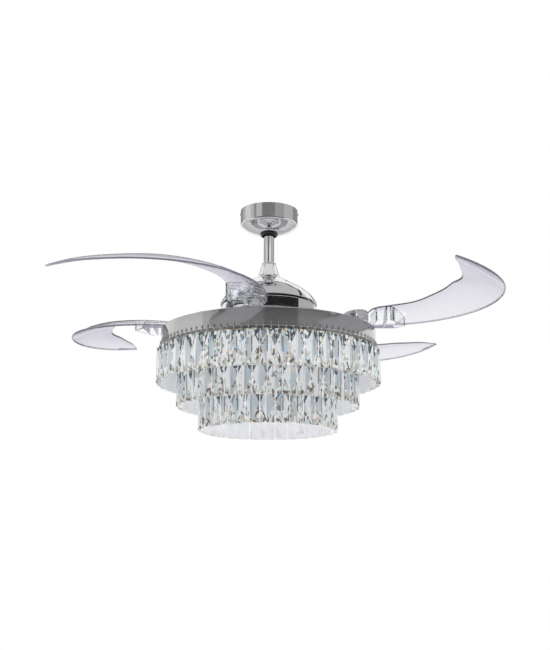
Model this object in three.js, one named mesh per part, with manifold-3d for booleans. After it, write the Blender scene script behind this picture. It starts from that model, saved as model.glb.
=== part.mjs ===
// A ceiling fan whose four clear blades swing out as it spins and fold away above its light when it stops.
// Millimetres, +Z up. The origin is the centre of the hanger bracket's top face, which lies on the ceiling.
// The rest pose has the blades swung out. Each moving group of pieces is a THREE.Group of its own.
import * as THREE from 'three';
import { mergeVertices } from 'three/addons/utils/BufferGeometryUtils.js';
import Module from 'manifold-3d';

const wasm = await Module();
wasm.setup();

// ---------------------------------------------------------------------------------- driving dimensions

const GAP = 0.3; // clearance between pieces that touch or are fastened together
const RUNNING_GAP = 0.5; // clearance between pieces that turn past each other
const WELD = 1e-4; // vertices closer than this are one vertex

const SEGMENTS = { hoop: 44, large: 28, medium: 16, small: 10, tiny: 8 };

// Held to the ceiling.
const CANOPY = { radius: 72.3, skirt: 40, depth: 60, wall: 1.2, edge: 2.5 };
const COLLAR = { room: 5.2, wall: 1.7, lip: 1.2, flange: 2.2, height: 8.5, above: 2 };
const CANOPY_SCREW = { radius: 2, headRadius: 3.6, headHeight: 2.6, reach: 12, drop: 8.5 };
const BRACKET = {
  margin: 11, sheet: 2.5, legInset: 16, legWidth: 34, drop: 34, seatMargin: 5,
  earWidth: 20, earDrop: 32, earGap: 1.4,
};
const SLOT = { inset: 19, length: 16, width: 7 };
const CABLE_HOLE = { radius: 7, x: 28, y: -24 };
const RECEIVER = { width: 66, depth: 30, height: 22, fromBall: 2 };
const TERMINALS = { width: 34, depth: 17, height: 13, fromBall: 4 };

// Hanging: the ball, the rod, the coupling under it with its two covers, and the motor's fixed half.
const BALL = { radius: 21, seatLip: 4, topCut: 8, bottomCut: 17 };
const ROD = { radius: 13, wall: 2.5, length: 177, aboveBall: 12.2 };
const BALL_PIN = { radius: 2.5, inset: 3 };
const CLEVIS_PIN = { radius: 2.5, aboveRodEnd: 12, proud: 2.5 };
const COUPLING = { wall: 5.2, aboveRodEnd: 23, belowRodEnd: 15, flange: 4, flangeOut: 10, taper: 5 };
const COVER = { height: 42.2, wall: 1.2, collar: 4.6, rimOut: 19, overDome: 0.2 };
const DOME = {
  aboveRodEnd: 6, rimRadius: 121.4, height: 66, wall: 1.4, lip: 4, hem: 1.2, room: 1.5, crownDrop: 0.2,
};
const SHAFT = { radius: 8.5, bore: 5.5, belowRodEnd: 2.5 };
const STATOR = { airGap: 1.2, height: 22, slots: 12, slotWidth: 14, slotDepth: 47.5 };
const WINDING = { fromSlotFloor: 6, fromRim: 9.5, height: 8 };

// Profiles of the two chrome covers: [share of the way out to the rim, share of the way down to it].
const COVER_FLARE = [[0.14, 0.33], [0.375, 0.66], [0.61, 0.853], [1, 1]];
const DOME_CURVE = [[0.295, 0.188], [0.547, 0.379], [0.766, 0.598], [0.908, 0.811], [1, 1]];

// Spinning: the motor's housing, the plate under it that carries the blades, and the gears that tie them.
const ROTOR = { inset: 5.4, belowDome: 3, upperHeight: 28, lowerHeight: 29, wall: 3, hubWall: 4 };
const BEARING = { wall: 9, width: 10 };
const MAGNET = { thickness: 6, height: 34 };
const PIVOT = { radius: 216.4, azimuth: -12.3, count: 4, swing: 122 };
const CARRIER = { belowRotor: 6, sheet: 3, bossWall: 6.5, bossRise: 6, aroundNut: 16 };
const CARRIER_WINDOW = { inner: 96, outer: 152, spread: 27 };
const CARRIER_SPIGOT = { inner: 60, outer: 82, bite: 1 };
const STOP_LUG = { radius: 3, height: 5 };
const SPRING = { wire: 1.8, turns: 1.6, pitch: 2.2, stepsPerTurn: 10 };
const GEAR = {
  ratio: 5, hubTeeth: 20, addendum: 0.8, dedendum: 1.15, flank: 18, backlash: 1.3, faceWidth: 4,
};
const HUB = { journal: 11, aboveCarrier: 10.7, flangeOut: 7, flange: 1.4 };
const SYNC_RING = { rim: 10.2 };
const BOLT = {
  radius: 4, headRadius: 7, headHeight: 5, aboveHub: 3.8, length: 24, socketRadius: 3.4, socketDepth: 3,
};

// A clear blade. It is drawn folded: azimuths run round the fan from its pivot, clockwise from above.
const BLADE = {
  sheet: 3.6, headRadius: 33, rimGap: 0.6, baseAboveCarrier: 6.5, edgeAboveCarrier: 10,
  climb: 0.15, sweepUpFrom: 120, sweepUp: 18, pitch: 0.31, camber: 0.075,
  wall: 3, ribs: [12, 20, 26], rootEnd: 13,
};
// The plan of its ribbed neck: degrees from the pivot, and how far the end steps in from the outer edge.
const NECK = {
  start: 9, inner: [13, 18, 24], outer: [14, 20, 27], end: 33, endInset: 26, flare: 14, skin: 0.5,
};
// Its width in from the fan's outer edge, as [degrees from its pivot, width].
const BLADE_WIDTHS = [[-12, 78], [5, 84], [24, 93], [45, 98], [66, 109], [88, 113], [103, 112.5],
  [112, 106], [122, 97.5], [147, 79], [160, 56], [167, 39], [173, 19], [178, 4]];
const BLADE_STATIONS = [-11, -4, 4, 16, 30, 46, 62, 78, 92, 103, 113, 126, 142, 155, 165, 172, 178];
const BUMPER = { radius: 8, fromHead: 9.5, bearing: -100, height: 23.2, aboveCarrier: 0.8, neck: 4 };
const EAR = { radius: 6.5, thickness: 3.6, aboveCarrier: 20 };

// The light kit: tray, band, rails, three tiers of crystals and the lamp.
const PAN = { sheet: 1.5, rim: 9, belowHubs: 2.8, insideBand: 0.5 };
const NUT = { wall: 5.5, height: 5.6, threadOut: 1.6 };
const BAND = { outsideBlades: 15.4, sheet: 1.5, abovePan: 11.8, height: 41.7 };
const CRYSTAL = {
  height: 82.5, depth: 13, sideDepth: 5, cornerDepth: 8, shoulder: 0.47, overhang: 9.6, belowRail: 8.1,
};
const TIERS = {
  outer: { inset: 0, drop: 0, count: 50 },
  middle: { inset: 51, drop: 57, count: 40 },
  inner: { inset: 105, drop: 114, count: 30 },
};
const HOOK = { width: 1.8, overRail: 7.4, bite: 1 };
const RAIL = { sheet: 1.5, height: 14 };
const FRAME = { sheet: 2.5, arm: 14, foot: 24, ringWidth: 10 };
const DRIVER = { inner: 72, length: 78, width: 58, height: 21 };
const LAMP = { radius: 118, belowPan: 37, sheet: 2, postRadius: 6, postCircle: 60 };
const LED_BOARD = { inset: 18, thickness: 1.6, chip: 8, chipHeight: 1.2, chips: 8, chipCircle: 0.72 };
const DIFFUSER = { inset: 2, wall: 2.5, depth: 30, side: 10 };

// --------------------------------------------------------------- radii and heights that follow from them

const collarNeck = ROD.radius + COLLAR.room + COLLAR.wall;
const canopyHole = collarNeck + GAP;
const bracketRadius = CANOPY.radius - CANOPY.wall - BRACKET.margin;
const ballSeat = BALL.radius - BALL.seatLip;
const couplingRadius = ROD.radius + GAP + COUPLING.wall;
const flangeRadius = couplingRadius + COUPLING.flangeOut;
const rotorRadius = DOME.rimRadius - ROTOR.inset;
const magnetOuter = rotorRadius - ROTOR.wall - GAP;
const statorRadius = magnetOuter - MAGNET.thickness - STATOR.airGap;
const slotFloor = statorRadius - STATOR.slotDepth;
const bearingRadius = SHAFT.radius + BEARING.wall;
const bladeOuter = PIVOT.radius + BLADE.headRadius + BLADE.rimGap;
const bossRadius = HUB.journal + RUNNING_GAP + CARRIER.bossWall;
const bumperReach = BLADE.headRadius + BUMPER.fromHead;
const bandRadius = bladeOuter + BAND.outsideBlades;
const panRadius = bandRadius - BAND.sheet - PAN.insideBand;

const seatZ = -BRACKET.drop;
const ballZ = seatZ + Math.sqrt(BALL.radius ** 2 - ballSeat ** 2) + RUNNING_GAP;
const rodTop = ballZ + ROD.aboveBall;
const rodEnd = rodTop - ROD.length;
const domeTop = rodEnd + DOME.aboveRodEnd;
const domeRim = domeTop - DOME.height;
const rotorTop = domeRim - ROTOR.belowDome;
const rotorSeam = rotorTop - ROTOR.upperHeight;
const rotorLow = rotorSeam - ROTOR.lowerHeight;
const carrierTop = rotorLow - CARRIER.belowRotor;
const carrierLow = carrierTop - CARRIER.sheet;
const gearTop = carrierLow - SPRING.turns * SPRING.pitch - SPRING.wire - 2 * GAP;
const gearLow = gearTop - GEAR.faceWidth;
const hubTop = carrierTop + HUB.aboveCarrier;
const hubFlangeTop = gearLow - GAP;
const panTop = hubFlangeTop - HUB.flange - PAN.belowHubs;
const underPan = panTop - PAN.sheet - GAP;
const bandTop = panTop + BAND.abovePan;
const bandLow = bandTop - BAND.height;
const lampTop = underPan - LAMP.belowPan;
const underLamp = lampTop - LAMP.sheet - GAP;

const tierRadius = (tier) => bandRadius + CRYSTAL.overhang - tier.inset;
const tierTop = (tier) => bandLow - CRYSTAL.belowRail - tier.drop;
const railRadius = (tier) => bandRadius - tier.inset;
const railLow = (tier) => bandLow - tier.drop;

// ---------------------------------------------------------------------------------------- solid helpers

const rad = THREE.MathUtils.degToRad;
const polar = (radius, degrees) => [radius * Math.cos(rad(degrees)), radius * Math.sin(rad(degrees))];

/** Six times the volume inside a triangle mesh, negative where its faces point inwards. */
function signedVolume(position, triangles) {
  const corner = (i) => new THREE.Vector3().fromArray(position, 3 * triangles[i]);
  let sum = 0;
  for (let i = 0; i < triangles.length; i += 3) {
    sum += corner(i).dot(corner(i + 1).cross(corner(i + 2)));
  }
  return sum;
}

/** A closed geometry as a solid that can be joined and cut, with its faces pointing out. */
function solid(geometry) {
  const bare = new THREE.BufferGeometry();
  bare.setAttribute('position', geometry.attributes.position.clone());
  if (geometry.index) bare.setIndex(geometry.index.clone());
  const merged = mergeVertices(bare, WELD);
  const position = merged.attributes.position.array;
  let triangles = [];
  for (let i = 0; i < merged.index.count; i += 3) {
    const [a, b, c] = merged.index.array.slice(i, i + 3);
    if (a !== b && b !== c && c !== a) triangles.push(a, b, c);
  }
  if (signedVolume(position, triangles) < 0) triangles = triangles.reverse();
  const mesh = new wasm.Mesh({
    numProp: 3,
    vertProperties: Float32Array.from(position),
    triVerts: Uint32Array.from(triangles),
  });
  return new wasm.Manifold(mesh);
}

function joined(...solids) {
  return solids.flat().reduce((whole, piece) => whole.add(piece));
}

function cut(body, ...tools) {
  return tools.flat().reduce((whole, tool) => whole.subtract(tool), body);
}

/** A solid of revolution about Z. The profile lists [radius, z], and closes on itself or on the axis. */
function turned(profile, segments = SEGMENTS.medium) {
  const points = profile.map(([r, z]) => new THREE.Vector2(r, z));
  const onAxis = profile[0][0] === 0 && profile.at(-1)[0] === 0;
  if (!onAxis) points.push(points[0].clone());
  return solid(new THREE.LatheGeometry(points, segments).rotateX(Math.PI / 2));
}

function ring(inner, outer, lowZ, highZ, segments) {
  return turned([[inner, lowZ], [outer, lowZ], [outer, highZ], [inner, highZ]], segments);
}

function disc(radius, lowZ, highZ, segments = SEGMENTS.medium, [x, y] = [0, 0]) {
  const geometry = new THREE.CylinderGeometry(radius, radius, highZ - lowZ, segments).rotateX(Math.PI / 2);
  return solid(geometry.translate(x, y, (lowZ + highZ) / 2));
}

/** The radius to the corners of a many-sided bore whose flats lie at a radius. */
const overFlats = (radius, segments) => radius / Math.cos(Math.PI / segments);

/** A tool for a round hole that a bar of that radius goes through. */
function drill(radius, lowZ, highZ, segments = SEGMENTS.small, at = [0, 0]) {
  return disc(overFlats(radius, segments), lowZ, highZ, segments, at);
}

/** A round bar along X, centred on the Z axis. */
function crossBar(radius, length, z, segments = SEGMENTS.tiny) {
  const bar = new THREE.CylinderGeometry(radius, radius, length, segments).rotateZ(Math.PI / 2);
  return solid(bar.translate(0, 0, z));
}

function block([x0, x1], [y0, y1], [z0, z1]) {
  const geometry = new THREE.BoxGeometry(x1 - x0, y1 - y0, z1 - z0);
  return solid(geometry.translate((x0 + x1) / 2, (y0 + y1) / 2, (z0 + z1) / 2));
}

/** A flat outline of [x, y] points, extruded from lowZ to highZ. */
function plate(outline, lowZ, highZ) {
  const shape = new THREE.Shape(outline.map(([x, y]) => new THREE.Vector2(x, y)));
  const geometry = new THREE.ExtrudeGeometry(shape, { depth: highZ - lowZ, bevelEnabled: false });
  return solid(geometry.translate(0, 0, lowZ));
}

function arc([cx, cy], radius, fromDegrees, toDegrees, steps) {
  return Array.from({ length: steps + 1 }, (_, i) => {
    const [x, y] = polar(radius, fromDegrees + ((toDegrees - fromDegrees) * i) / steps);
    return [cx + x, cy + y];
  });
}

function rotatedAbout(body, [x, y], degrees) {
  return body.translate([-x, -y, 0]).rotate([0, 0, degrees]).translate([x, y, 0]);
}

const around = (count, make) => Array.from({ length: count }, (_, i) => make((360 * i) / count, i));

// -------------------------------------------------------------------------------------------- materials

function finish(color, roughness, metalness, opacity = 1) {
  return new THREE.MeshStandardMaterial({ color, roughness, metalness, opacity, transparent: opacity < 1 });
}

const MATERIALS = {
  chrome: finish(0xd8dadd, 0.08, 1),
  bandSteel: finish(0xa9a8a6, 0.22, 1),
  zincSteel: finish(0x9a9c9e, 0.4, 1),
  aluminium: finish(0xb9bcbf, 0.35, 1),
  spring: finish(0x6d6f72, 0.35, 1),
  copper: finish(0xb5713a, 0.4, 1),
  magnet: finish(0x2b2b2d, 0.6, 0.2),
  lamination: finish(0x55585c, 0.5, 0.8),
  black: finish(0x121214, 0.35, 0),
  rubber: finish(0x2c2d2c, 0.6, 0),
  white: finish(0xf1f1ee, 0.45, 0),
  nylon: finish(0xe4e2d8, 0.5, 0),
  board: finish(0xf4f4f0, 0.5, 0),
  opal: finish(0xfafafa, 0.35, 0, 0.9),
  clearBlade: finish(0xdcdbe6, 0.05, 0, 0.35),
  crystal: finish(0xf0f4f0, 0.02, 0, 0.35),
};

/** A named mesh of one closed solid. */
function piece(name, body, material) {
  const { vertProperties, triVerts } = body.getMesh();
  const geometry = new THREE.BufferGeometry();
  geometry.setAttribute('position', new THREE.BufferAttribute(vertProperties, 3));
  geometry.setIndex(new THREE.BufferAttribute(triVerts, 1));
  geometry.computeVertexNormals();
  const mesh = new THREE.Mesh(geometry, material);
  mesh.name = name;
  return mesh;
}

function group(...pieces) {
  const made = new THREE.Group();
  made.add(...pieces.flat());
  return made;
}

// --------------------------------------------------------------------------------- ceiling: held pieces

/** A bent steel bracket: a plate on the ceiling, two legs, the seat that the ball sits in, and two ears. */
function hangerBracket() {
  const { sheet, legInset, legWidth, earWidth, earDrop, earGap } = BRACKET;
  const half = legWidth / 2;
  const legX = bracketRadius - legInset;
  const earX = CANOPY.radius - CANOPY.wall - earGap;
  const sideways = (x) => [Math.min(x, -x), Math.max(x, -x)];
  const top = joined(
    disc(bracketRadius, -sheet, 0, SEGMENTS.medium),
    block(sideways(earX), [-earWidth / 2, earWidth / 2], [-sheet, 0]),
  );
  const legs = [-1, 1].map((side) => {
    const xs = [side * legX, side * (legX + sheet)].sort((a, b) => a - b);
    return block(xs, [-half, half], [seatZ - sheet, -sheet / 2]);
  });
  const ears = [-1, 1].map((side) => {
    const xs = [side * (earX - sheet), side * earX].sort((a, b) => a - b);
    return block(xs, [-earWidth / 2, earWidth / 2], [-earDrop, -sheet / 2]);
  });
  const seatHalf = Math.max(half, ballSeat) + BRACKET.seatMargin;
  const seat = block(sideways(legX + sheet / 2), [-seatHalf, seatHalf], [seatZ - sheet, seatZ]);
  const slots = [-1, 1].map((side) => {
    const y = side * (bracketRadius - SLOT.inset);
    const halves = [SLOT.length / 2, SLOT.width / 2];
    return block([-halves[0], halves[0]], [y - halves[1], y + halves[1]], [-2 * sheet, sheet]);
  });
  const cableHole = disc(CABLE_HOLE.radius, -2 * sheet, sheet, SEGMENTS.small, [CABLE_HOLE.x, CABLE_HOLE.y]);
  const ballHole = disc(ballSeat, seatZ - 2 * sheet, seatZ + sheet, SEGMENTS.medium);
  const screwHole = crossBar(CANOPY_SCREW.radius + GAP, 4 * bracketRadius, -CANOPY_SCREW.drop);
  return cut(joined(cut(joined(top, ears), screwHole), legs, seat), slots, cableHole, ballHole);
}

/** The chrome cup: a straight skirt and a shallow cone, spun from one sheet. */
function canopy() {
  const { radius, skirt, depth, wall, edge } = CANOPY;
  const flat = canopyHole + COLLAR.flange + 2;
  const shell = turned([
    [radius, 0], [radius, -skirt + edge], [radius - edge, -skirt - edge / 2], [flat, -depth],
    [canopyHole, -depth], [canopyHole, -depth + wall], [flat, -depth + wall],
    [radius - edge - wall / 2, -skirt - edge / 2 + wall], [radius - wall, -skirt + edge], [radius - wall, 0],
  ], SEGMENTS.large);
  return cut(shell, crossBar(CANOPY_SCREW.radius + GAP, 3 * radius, -CANOPY_SCREW.drop));
}

/** A black ring that snaps into the canopy's hole and trims it round the rod. */
function canopyCollar() {
  const { lip, flange, height, above, wall } = COLLAR;
  const neck = collarNeck;
  const bore = collarNeck - wall;
  const under = -CANOPY.depth - GAP;
  const over = -CANOPY.depth + CANOPY.wall + GAP;
  return turned([
    [bore, over + above], [neck + lip, over + above], [neck + lip, over], [neck, over], [neck, under],
    [neck + flange, under], [neck + flange + 0.6, under - height / 3],
    [neck + flange - 0.6, under - height + 1],
    [neck - 0.4, under - height], [bore, under - height + 1],
  ], SEGMENTS.medium);
}

/** A pan-head screw through the canopy's skirt into the bracket's ear, as it lies on the right side. */
function canopyScrew() {
  const { radius, headRadius, headHeight, reach, drop } = CANOPY_SCREW;
  const seat = CANOPY.radius + GAP;
  const tip = CANOPY.radius - reach;
  const profile = [[0, tip], [radius, tip], [radius, seat], [headRadius, seat], [headRadius, seat + 1],
    [headRadius - 1.4, seat + headHeight], [0, seat + headHeight]];
  const points = profile.map(([r, along]) => new THREE.Vector2(r, along));
  return solid(new THREE.LatheGeometry(points, SEGMENTS.tiny).rotateZ(-Math.PI / 2).translate(0, 0, -drop));
}

/** A box under the bracket's plate, on one side of the ball. */
function boxBesideBall({ width, depth, height, fromBall }, side) {
  const top = -BRACKET.sheet - GAP;
  const near = BALL.radius + fromBall;
  const ys = [side * near, side * (near + depth)].sort((a, b) => a - b);
  return block([-width / 2, width / 2], ys, [top - height, top]);
}

function ceilingGroup() {
  const left = piece('canopy_screw_left', canopyScrew(), MATERIALS.chrome);
  left.rotation.z = Math.PI;
  return group(
    piece('hanger_bracket', hangerBracket(), MATERIALS.zincSteel),
    piece('canopy', canopy(), MATERIALS.chrome),
    piece('canopy_collar', canopyCollar(), MATERIALS.black),
    piece('canopy_screw_right', canopyScrew(), MATERIALS.chrome),
    left,
    piece('receiver', boxBesideBall(RECEIVER, 1), MATERIALS.black),
    piece('terminal_block', boxBesideBall(TERMINALS, -1), MATERIALS.nylon),
  );
}

// -------------------------------------------------------------------- stem: the rod and what it carries

/** A moulded ball, flat above and below, that hangs the rod in the bracket's seat. */
function hangerBall() {
  const { radius, topCut, bottomCut } = BALL;
  const bore = ROD.radius + GAP;
  const low = -Math.asin(bottomCut / radius);
  const high = Math.asin(topCut / radius);
  const steps = 5;
  const skin = Array.from({ length: steps + 1 }, (_, i) => {
    const angle = low + ((high - low) * i) / steps;
    return [radius * Math.cos(angle), ballZ + radius * Math.sin(angle)];
  });
  const lowest = Math.max(bore + 0.5, skin[0][0]);
  const body = turned([[bore, skin[0][1]], [lowest, skin[0][1]], ...skin.slice(1), [bore, skin.at(-1)[1]]]);
  return cut(body, crossBar(BALL_PIN.radius + GAP, 3 * radius, ballZ));
}

function downrod() {
  const { radius, wall } = ROD;
  const tube = ring(radius - wall, radius, rodEnd, rodTop, SEGMENTS.medium);
  return cut(
    tube,
    crossBar(BALL_PIN.radius + GAP, 4 * radius, ballZ),
    crossBar(CLEVIS_PIN.radius + GAP, 4 * radius, rodEnd + CLEVIS_PIN.aboveRodEnd),
  );
}

/** The cast coupling: a socket for the rod above, a flange for the dome, and a boss for the motor's shaft. */
function coupling() {
  const { wall, aboveRodEnd, belowRodEnd, flange, taper } = COUPLING;
  const topZ = rodEnd + aboveRodEnd;
  const lowZ = rodEnd - belowRodEnd;
  const flangeTop = domeTop - DOME.wall - GAP;
  const socket = ROD.radius + GAP;
  const socketFloor = rodEnd - GAP;
  const shaftSocket = SHAFT.radius + GAP;
  const shaftTop = rodEnd - SHAFT.belowRodEnd + GAP;
  const boss = shaftSocket + wall;
  const body = turned([
    [socket, topZ], [couplingRadius, topZ], [couplingRadius, flangeTop], [flangeRadius, flangeTop],
    [flangeRadius, flangeTop - flange], [couplingRadius, flangeTop - flange],
    [boss, flangeTop - flange - taper],
    [boss, lowZ], [shaftSocket, lowZ], [shaftSocket, shaftTop], [SHAFT.bore, shaftTop],
    [SHAFT.bore, socketFloor], [socket, socketFloor],
  ], SEGMENTS.medium);
  return cut(body, crossBar(CLEVIS_PIN.radius + GAP, 4 * couplingRadius, rodEnd + CLEVIS_PIN.aboveRodEnd));
}

/** The chrome bell that slides down the rod over the coupling. */
function couplingCover() {
  const { height, wall, collar, rimOut, overDome } = COVER;
  const lowZ = domeTop - overDome;
  const topZ = lowZ + height;
  const neck = ROD.radius + GAP;
  const shoulder = ROD.radius + collar;
  const flare = COVER_FLARE.map(([out, down]) => [shoulder + out * (rimOut - collar), topZ - down * height]);
  const outer = [[neck + 1, topZ], [shoulder - 0.8, topZ - 1.6], [shoulder, topZ - 5], ...flare];
  const inner = outer.slice(2).reverse().map(([r, z]) => [r - wall, z]);
  return turned([[neck, topZ], ...outer, ...inner, [neck, topZ - 5]], SEGMENTS.medium);
}

/** The chrome dome over the motor. */
function dome() {
  const { rimRadius, height, wall, lip, hem, room, crownDrop } = DOME;
  const hole = couplingRadius + room;
  const crown = flangeRadius + room;
  const curve = DOME_CURVE.map(([out, down]) => [crown + out * (rimRadius - crown), domeTop - down * height]);
  const skin = [[hole, domeTop], [crown, domeTop - crownDrop], ...curve];
  const lining = [5, 4, 3, 1].map((i) => [skin[i][0] - wall * 0.7, skin[i][1] - wall]);
  const lipRing = [[rimRadius - hem / 3, domeRim - hem], [rimRadius - lip, domeRim - hem]];
  return turned([...skin, ...lipRing, ...lining, [hole, domeTop - wall]], SEGMENTS.large);
}

function statorCore() {
  const { height, slots, slotWidth } = STATOR;
  const half = height / 2;
  const bore = overFlats(SHAFT.radius + GAP, SEGMENTS.medium);
  const body = ring(bore, statorRadius, rotorSeam - half, rotorSeam + half, SEGMENTS.medium);
  const notches = around(slots, (angle) => block(
    [slotFloor, statorRadius + 5], [-slotWidth / 2, slotWidth / 2],
    [rotorSeam - half - 1, rotorSeam + half + 1],
  ).rotate([0, 0, angle + 180 / slots]));
  return cut(body, notches);
}

function winding(lowZ) {
  const { fromSlotFloor, fromRim, height } = WINDING;
  return ring(slotFloor + fromSlotFloor, statorRadius - fromRim, lowZ, lowZ + height, SEGMENTS.medium);
}

function hexNut(topZ) {
  const body = disc(SHAFT.radius + NUT.wall, topZ - NUT.height, topZ, 6);
  return cut(body, drill(SHAFT.radius + GAP, topZ - 2 * NUT.height, topZ + NUT.height, SEGMENTS.small));
}

/** The steel tray that the light kit is built on. */
function lightPan() {
  const { sheet, rim } = PAN;
  const hole = SHAFT.radius + GAP;
  return turned([
    [hole, panTop], [panRadius, panTop], [panRadius, panTop - rim], [panRadius - sheet, panTop - rim],
    [panRadius - sheet, panTop - sheet], [hole, panTop - sheet],
  ], SEGMENTS.hoop);
}

function tierRail(tier) {
  const outer = railRadius(tier);
  return ring(outer - RAIL.sheet, outer, railLow(tier), railLow(tier) + RAIL.height, SEGMENTS.hoop);
}

/** Four stepped straps joined by a flat ring: they carry both lower rails from the tray. */
function railFrame() {
  const { sheet, arm, foot, ringWidth } = FRAME;
  const insideRail = (tier) => (railRadius(tier) - RAIL.sheet) * Math.cos(Math.PI / SEGMENTS.hoop) - GAP;
  const outerFace = insideRail(TIERS.middle);
  const innerFace = insideRail(TIERS.inner);
  const ringInner = (outerFace + innerFace - ringWidth) / 2;
  const stepZ = railLow(TIERS.middle);
  const width = [-arm / 2, arm / 2];
  const strap = joined(
    block([outerFace - foot, outerFace], width, [underPan - sheet, underPan]),
    block([outerFace - sheet, outerFace], width, [stepZ - sheet / 2, underPan - sheet / 2]),
    block([innerFace - sheet, outerFace], width, [stepZ - sheet, stepZ]),
    block([innerFace - sheet, innerFace], width, [railLow(TIERS.inner), stepZ - sheet / 2]),
  );
  const straps = around(4, (angle) => strap.rotate([0, 0, angle + 45]));
  return joined(ring(ringInner, ringInner + ringWidth, stepZ - sheet, stepZ, SEGMENTS.medium), straps);
}

/** One tier of cut-glass drops, edge to edge. Each has a ridge down its face and a flat back. */
function crystalTier(tier) {
  const { height, depth, sideDepth, cornerDepth, shoulder } = CRYSTAL;
  const radius = tierRadius(tier);
  const topZ = tierTop(tier);
  const pitch = 360 / tier.count;
  const levels = { top: topZ, side: topZ - height * shoulder, low: topZ - height };
  const toCorner = 1 / Math.cos(rad(pitch / 2));
  const onSide = (inset, degrees, level) => [...polar((radius - inset) * toCorner, degrees), levels[level]];
  const position = [];
  const fan = (hub, ...rim) => {
    for (let i = 0; i + 1 < rim.length; i += 1) position.push(...hub, ...rim[i], ...rim[i + 1]);
  };
  for (let i = 0; i < tier.count; i += 1) {
    const sides = [i * pitch, (i + 1) * pitch];
    const ridge = ['top', 'low'].map((level) => [...polar(radius, (i + 0.5) * pitch), levels[level]]);
    const [left, right] = sides.map((degrees) => [
      onSide(cornerDepth, degrees, 'top'), onSide(sideDepth, degrees, 'side'),
      onSide(cornerDepth, degrees, 'low'),
    ]);
    const backAt = (degrees) => ['top', 'low'].map((level) => onSide(depth, degrees, level));
    const [backLeft, backRight] = sides.map(backAt);
    fan(left[1], left[2], ridge[1], ridge[0], left[0]);
    fan(right[1], right[0], ridge[0], ridge[1], right[2]);
    fan(backLeft[0], left[0], ridge[0], right[0], backRight[0]);
    fan(backLeft[1], backRight[1], right[2], ridge[1], left[2]);
    fan(backLeft[0], backRight[0], backRight[1], backLeft[1]);
  }
  const geometry = new THREE.BufferGeometry();
  geometry.setAttribute('position', new THREE.Float32BufferAttribute(position, 3));
  return geometry;
}

/** A tier with the hook of each drop, which reaches up against the band or rail that it hangs on. */
function hookedTier(tier) {
  const { width, overRail, bite } = HOOK;
  const length = CRYSTAL.belowRail + overRail + bite;
  const spike = new THREE.ConeGeometry(width / 2, length, 3).rotateX(Math.PI / 2).rotateZ(Math.PI / 2);
  const lean = new THREE.Matrix4().makeShear(0, 0, 0, 0, -width / 4 / length, 0);
  const foot = railRadius(tier) + GAP + width / 8;
  const hook = solid(spike.applyMatrix4(lean).translate(foot, 0, tierTop(tier) - bite + length / 2));
  return joined(
    solid(crystalTier(tier)),
    around(tier.count, (angle) => hook.rotate([0, 0, angle + 180 / tier.count])),
  );
}

/** The lamp's carrier: a disc on three posts. */
function lampPlate() {
  const { radius, sheet, postRadius, postCircle } = LAMP;
  const posts = around(3, (angle) => (
    disc(postRadius, lampTop - sheet / 2, underPan, SEGMENTS.tiny, polar(postCircle, angle + 90))
  ));
  return joined(disc(radius, lampTop - sheet, lampTop), posts);
}

function ledBoard() {
  const { inset, thickness, chip, chipHeight, chips, chipCircle } = LED_BOARD;
  const radius = LAMP.radius - inset;
  const low = underLamp - thickness;
  const half = chip / 2;
  const middle = radius * chipCircle;
  const lights = around(chips, (angle) => (
    block([middle - half, middle + half], [-half, half], [low - chipHeight, low + thickness / 2])
      .rotate([0, 0, angle])
  ));
  return joined(disc(radius, low, underLamp), lights);
}

function diffuser() {
  const { inset, wall, depth, side } = DIFFUSER;
  const radius = LAMP.radius - inset;
  const low = underLamp - depth;
  const bowl = (out, up) => [
    [0, low + up], [radius * 0.55, low + depth * 0.07 + up],
    [radius * 0.9 - out * 0.6, low + depth * 0.3 + up],
    [radius - out, underLamp - side], [radius - out, underLamp],
  ];
  return turned([...bowl(0, 0), ...bowl(wall, wall).reverse()], SEGMENTS.medium);
}

function band() {
  return ring(bandRadius - BAND.sheet, bandRadius, bandLow, bandTop, SEGMENTS.hoop);
}

function ledDriver() {
  const { inner, length, width, height } = DRIVER;
  return block([inner, inner + length], [-width / 2, width / 2], [underPan - height, underPan]);
}

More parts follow.
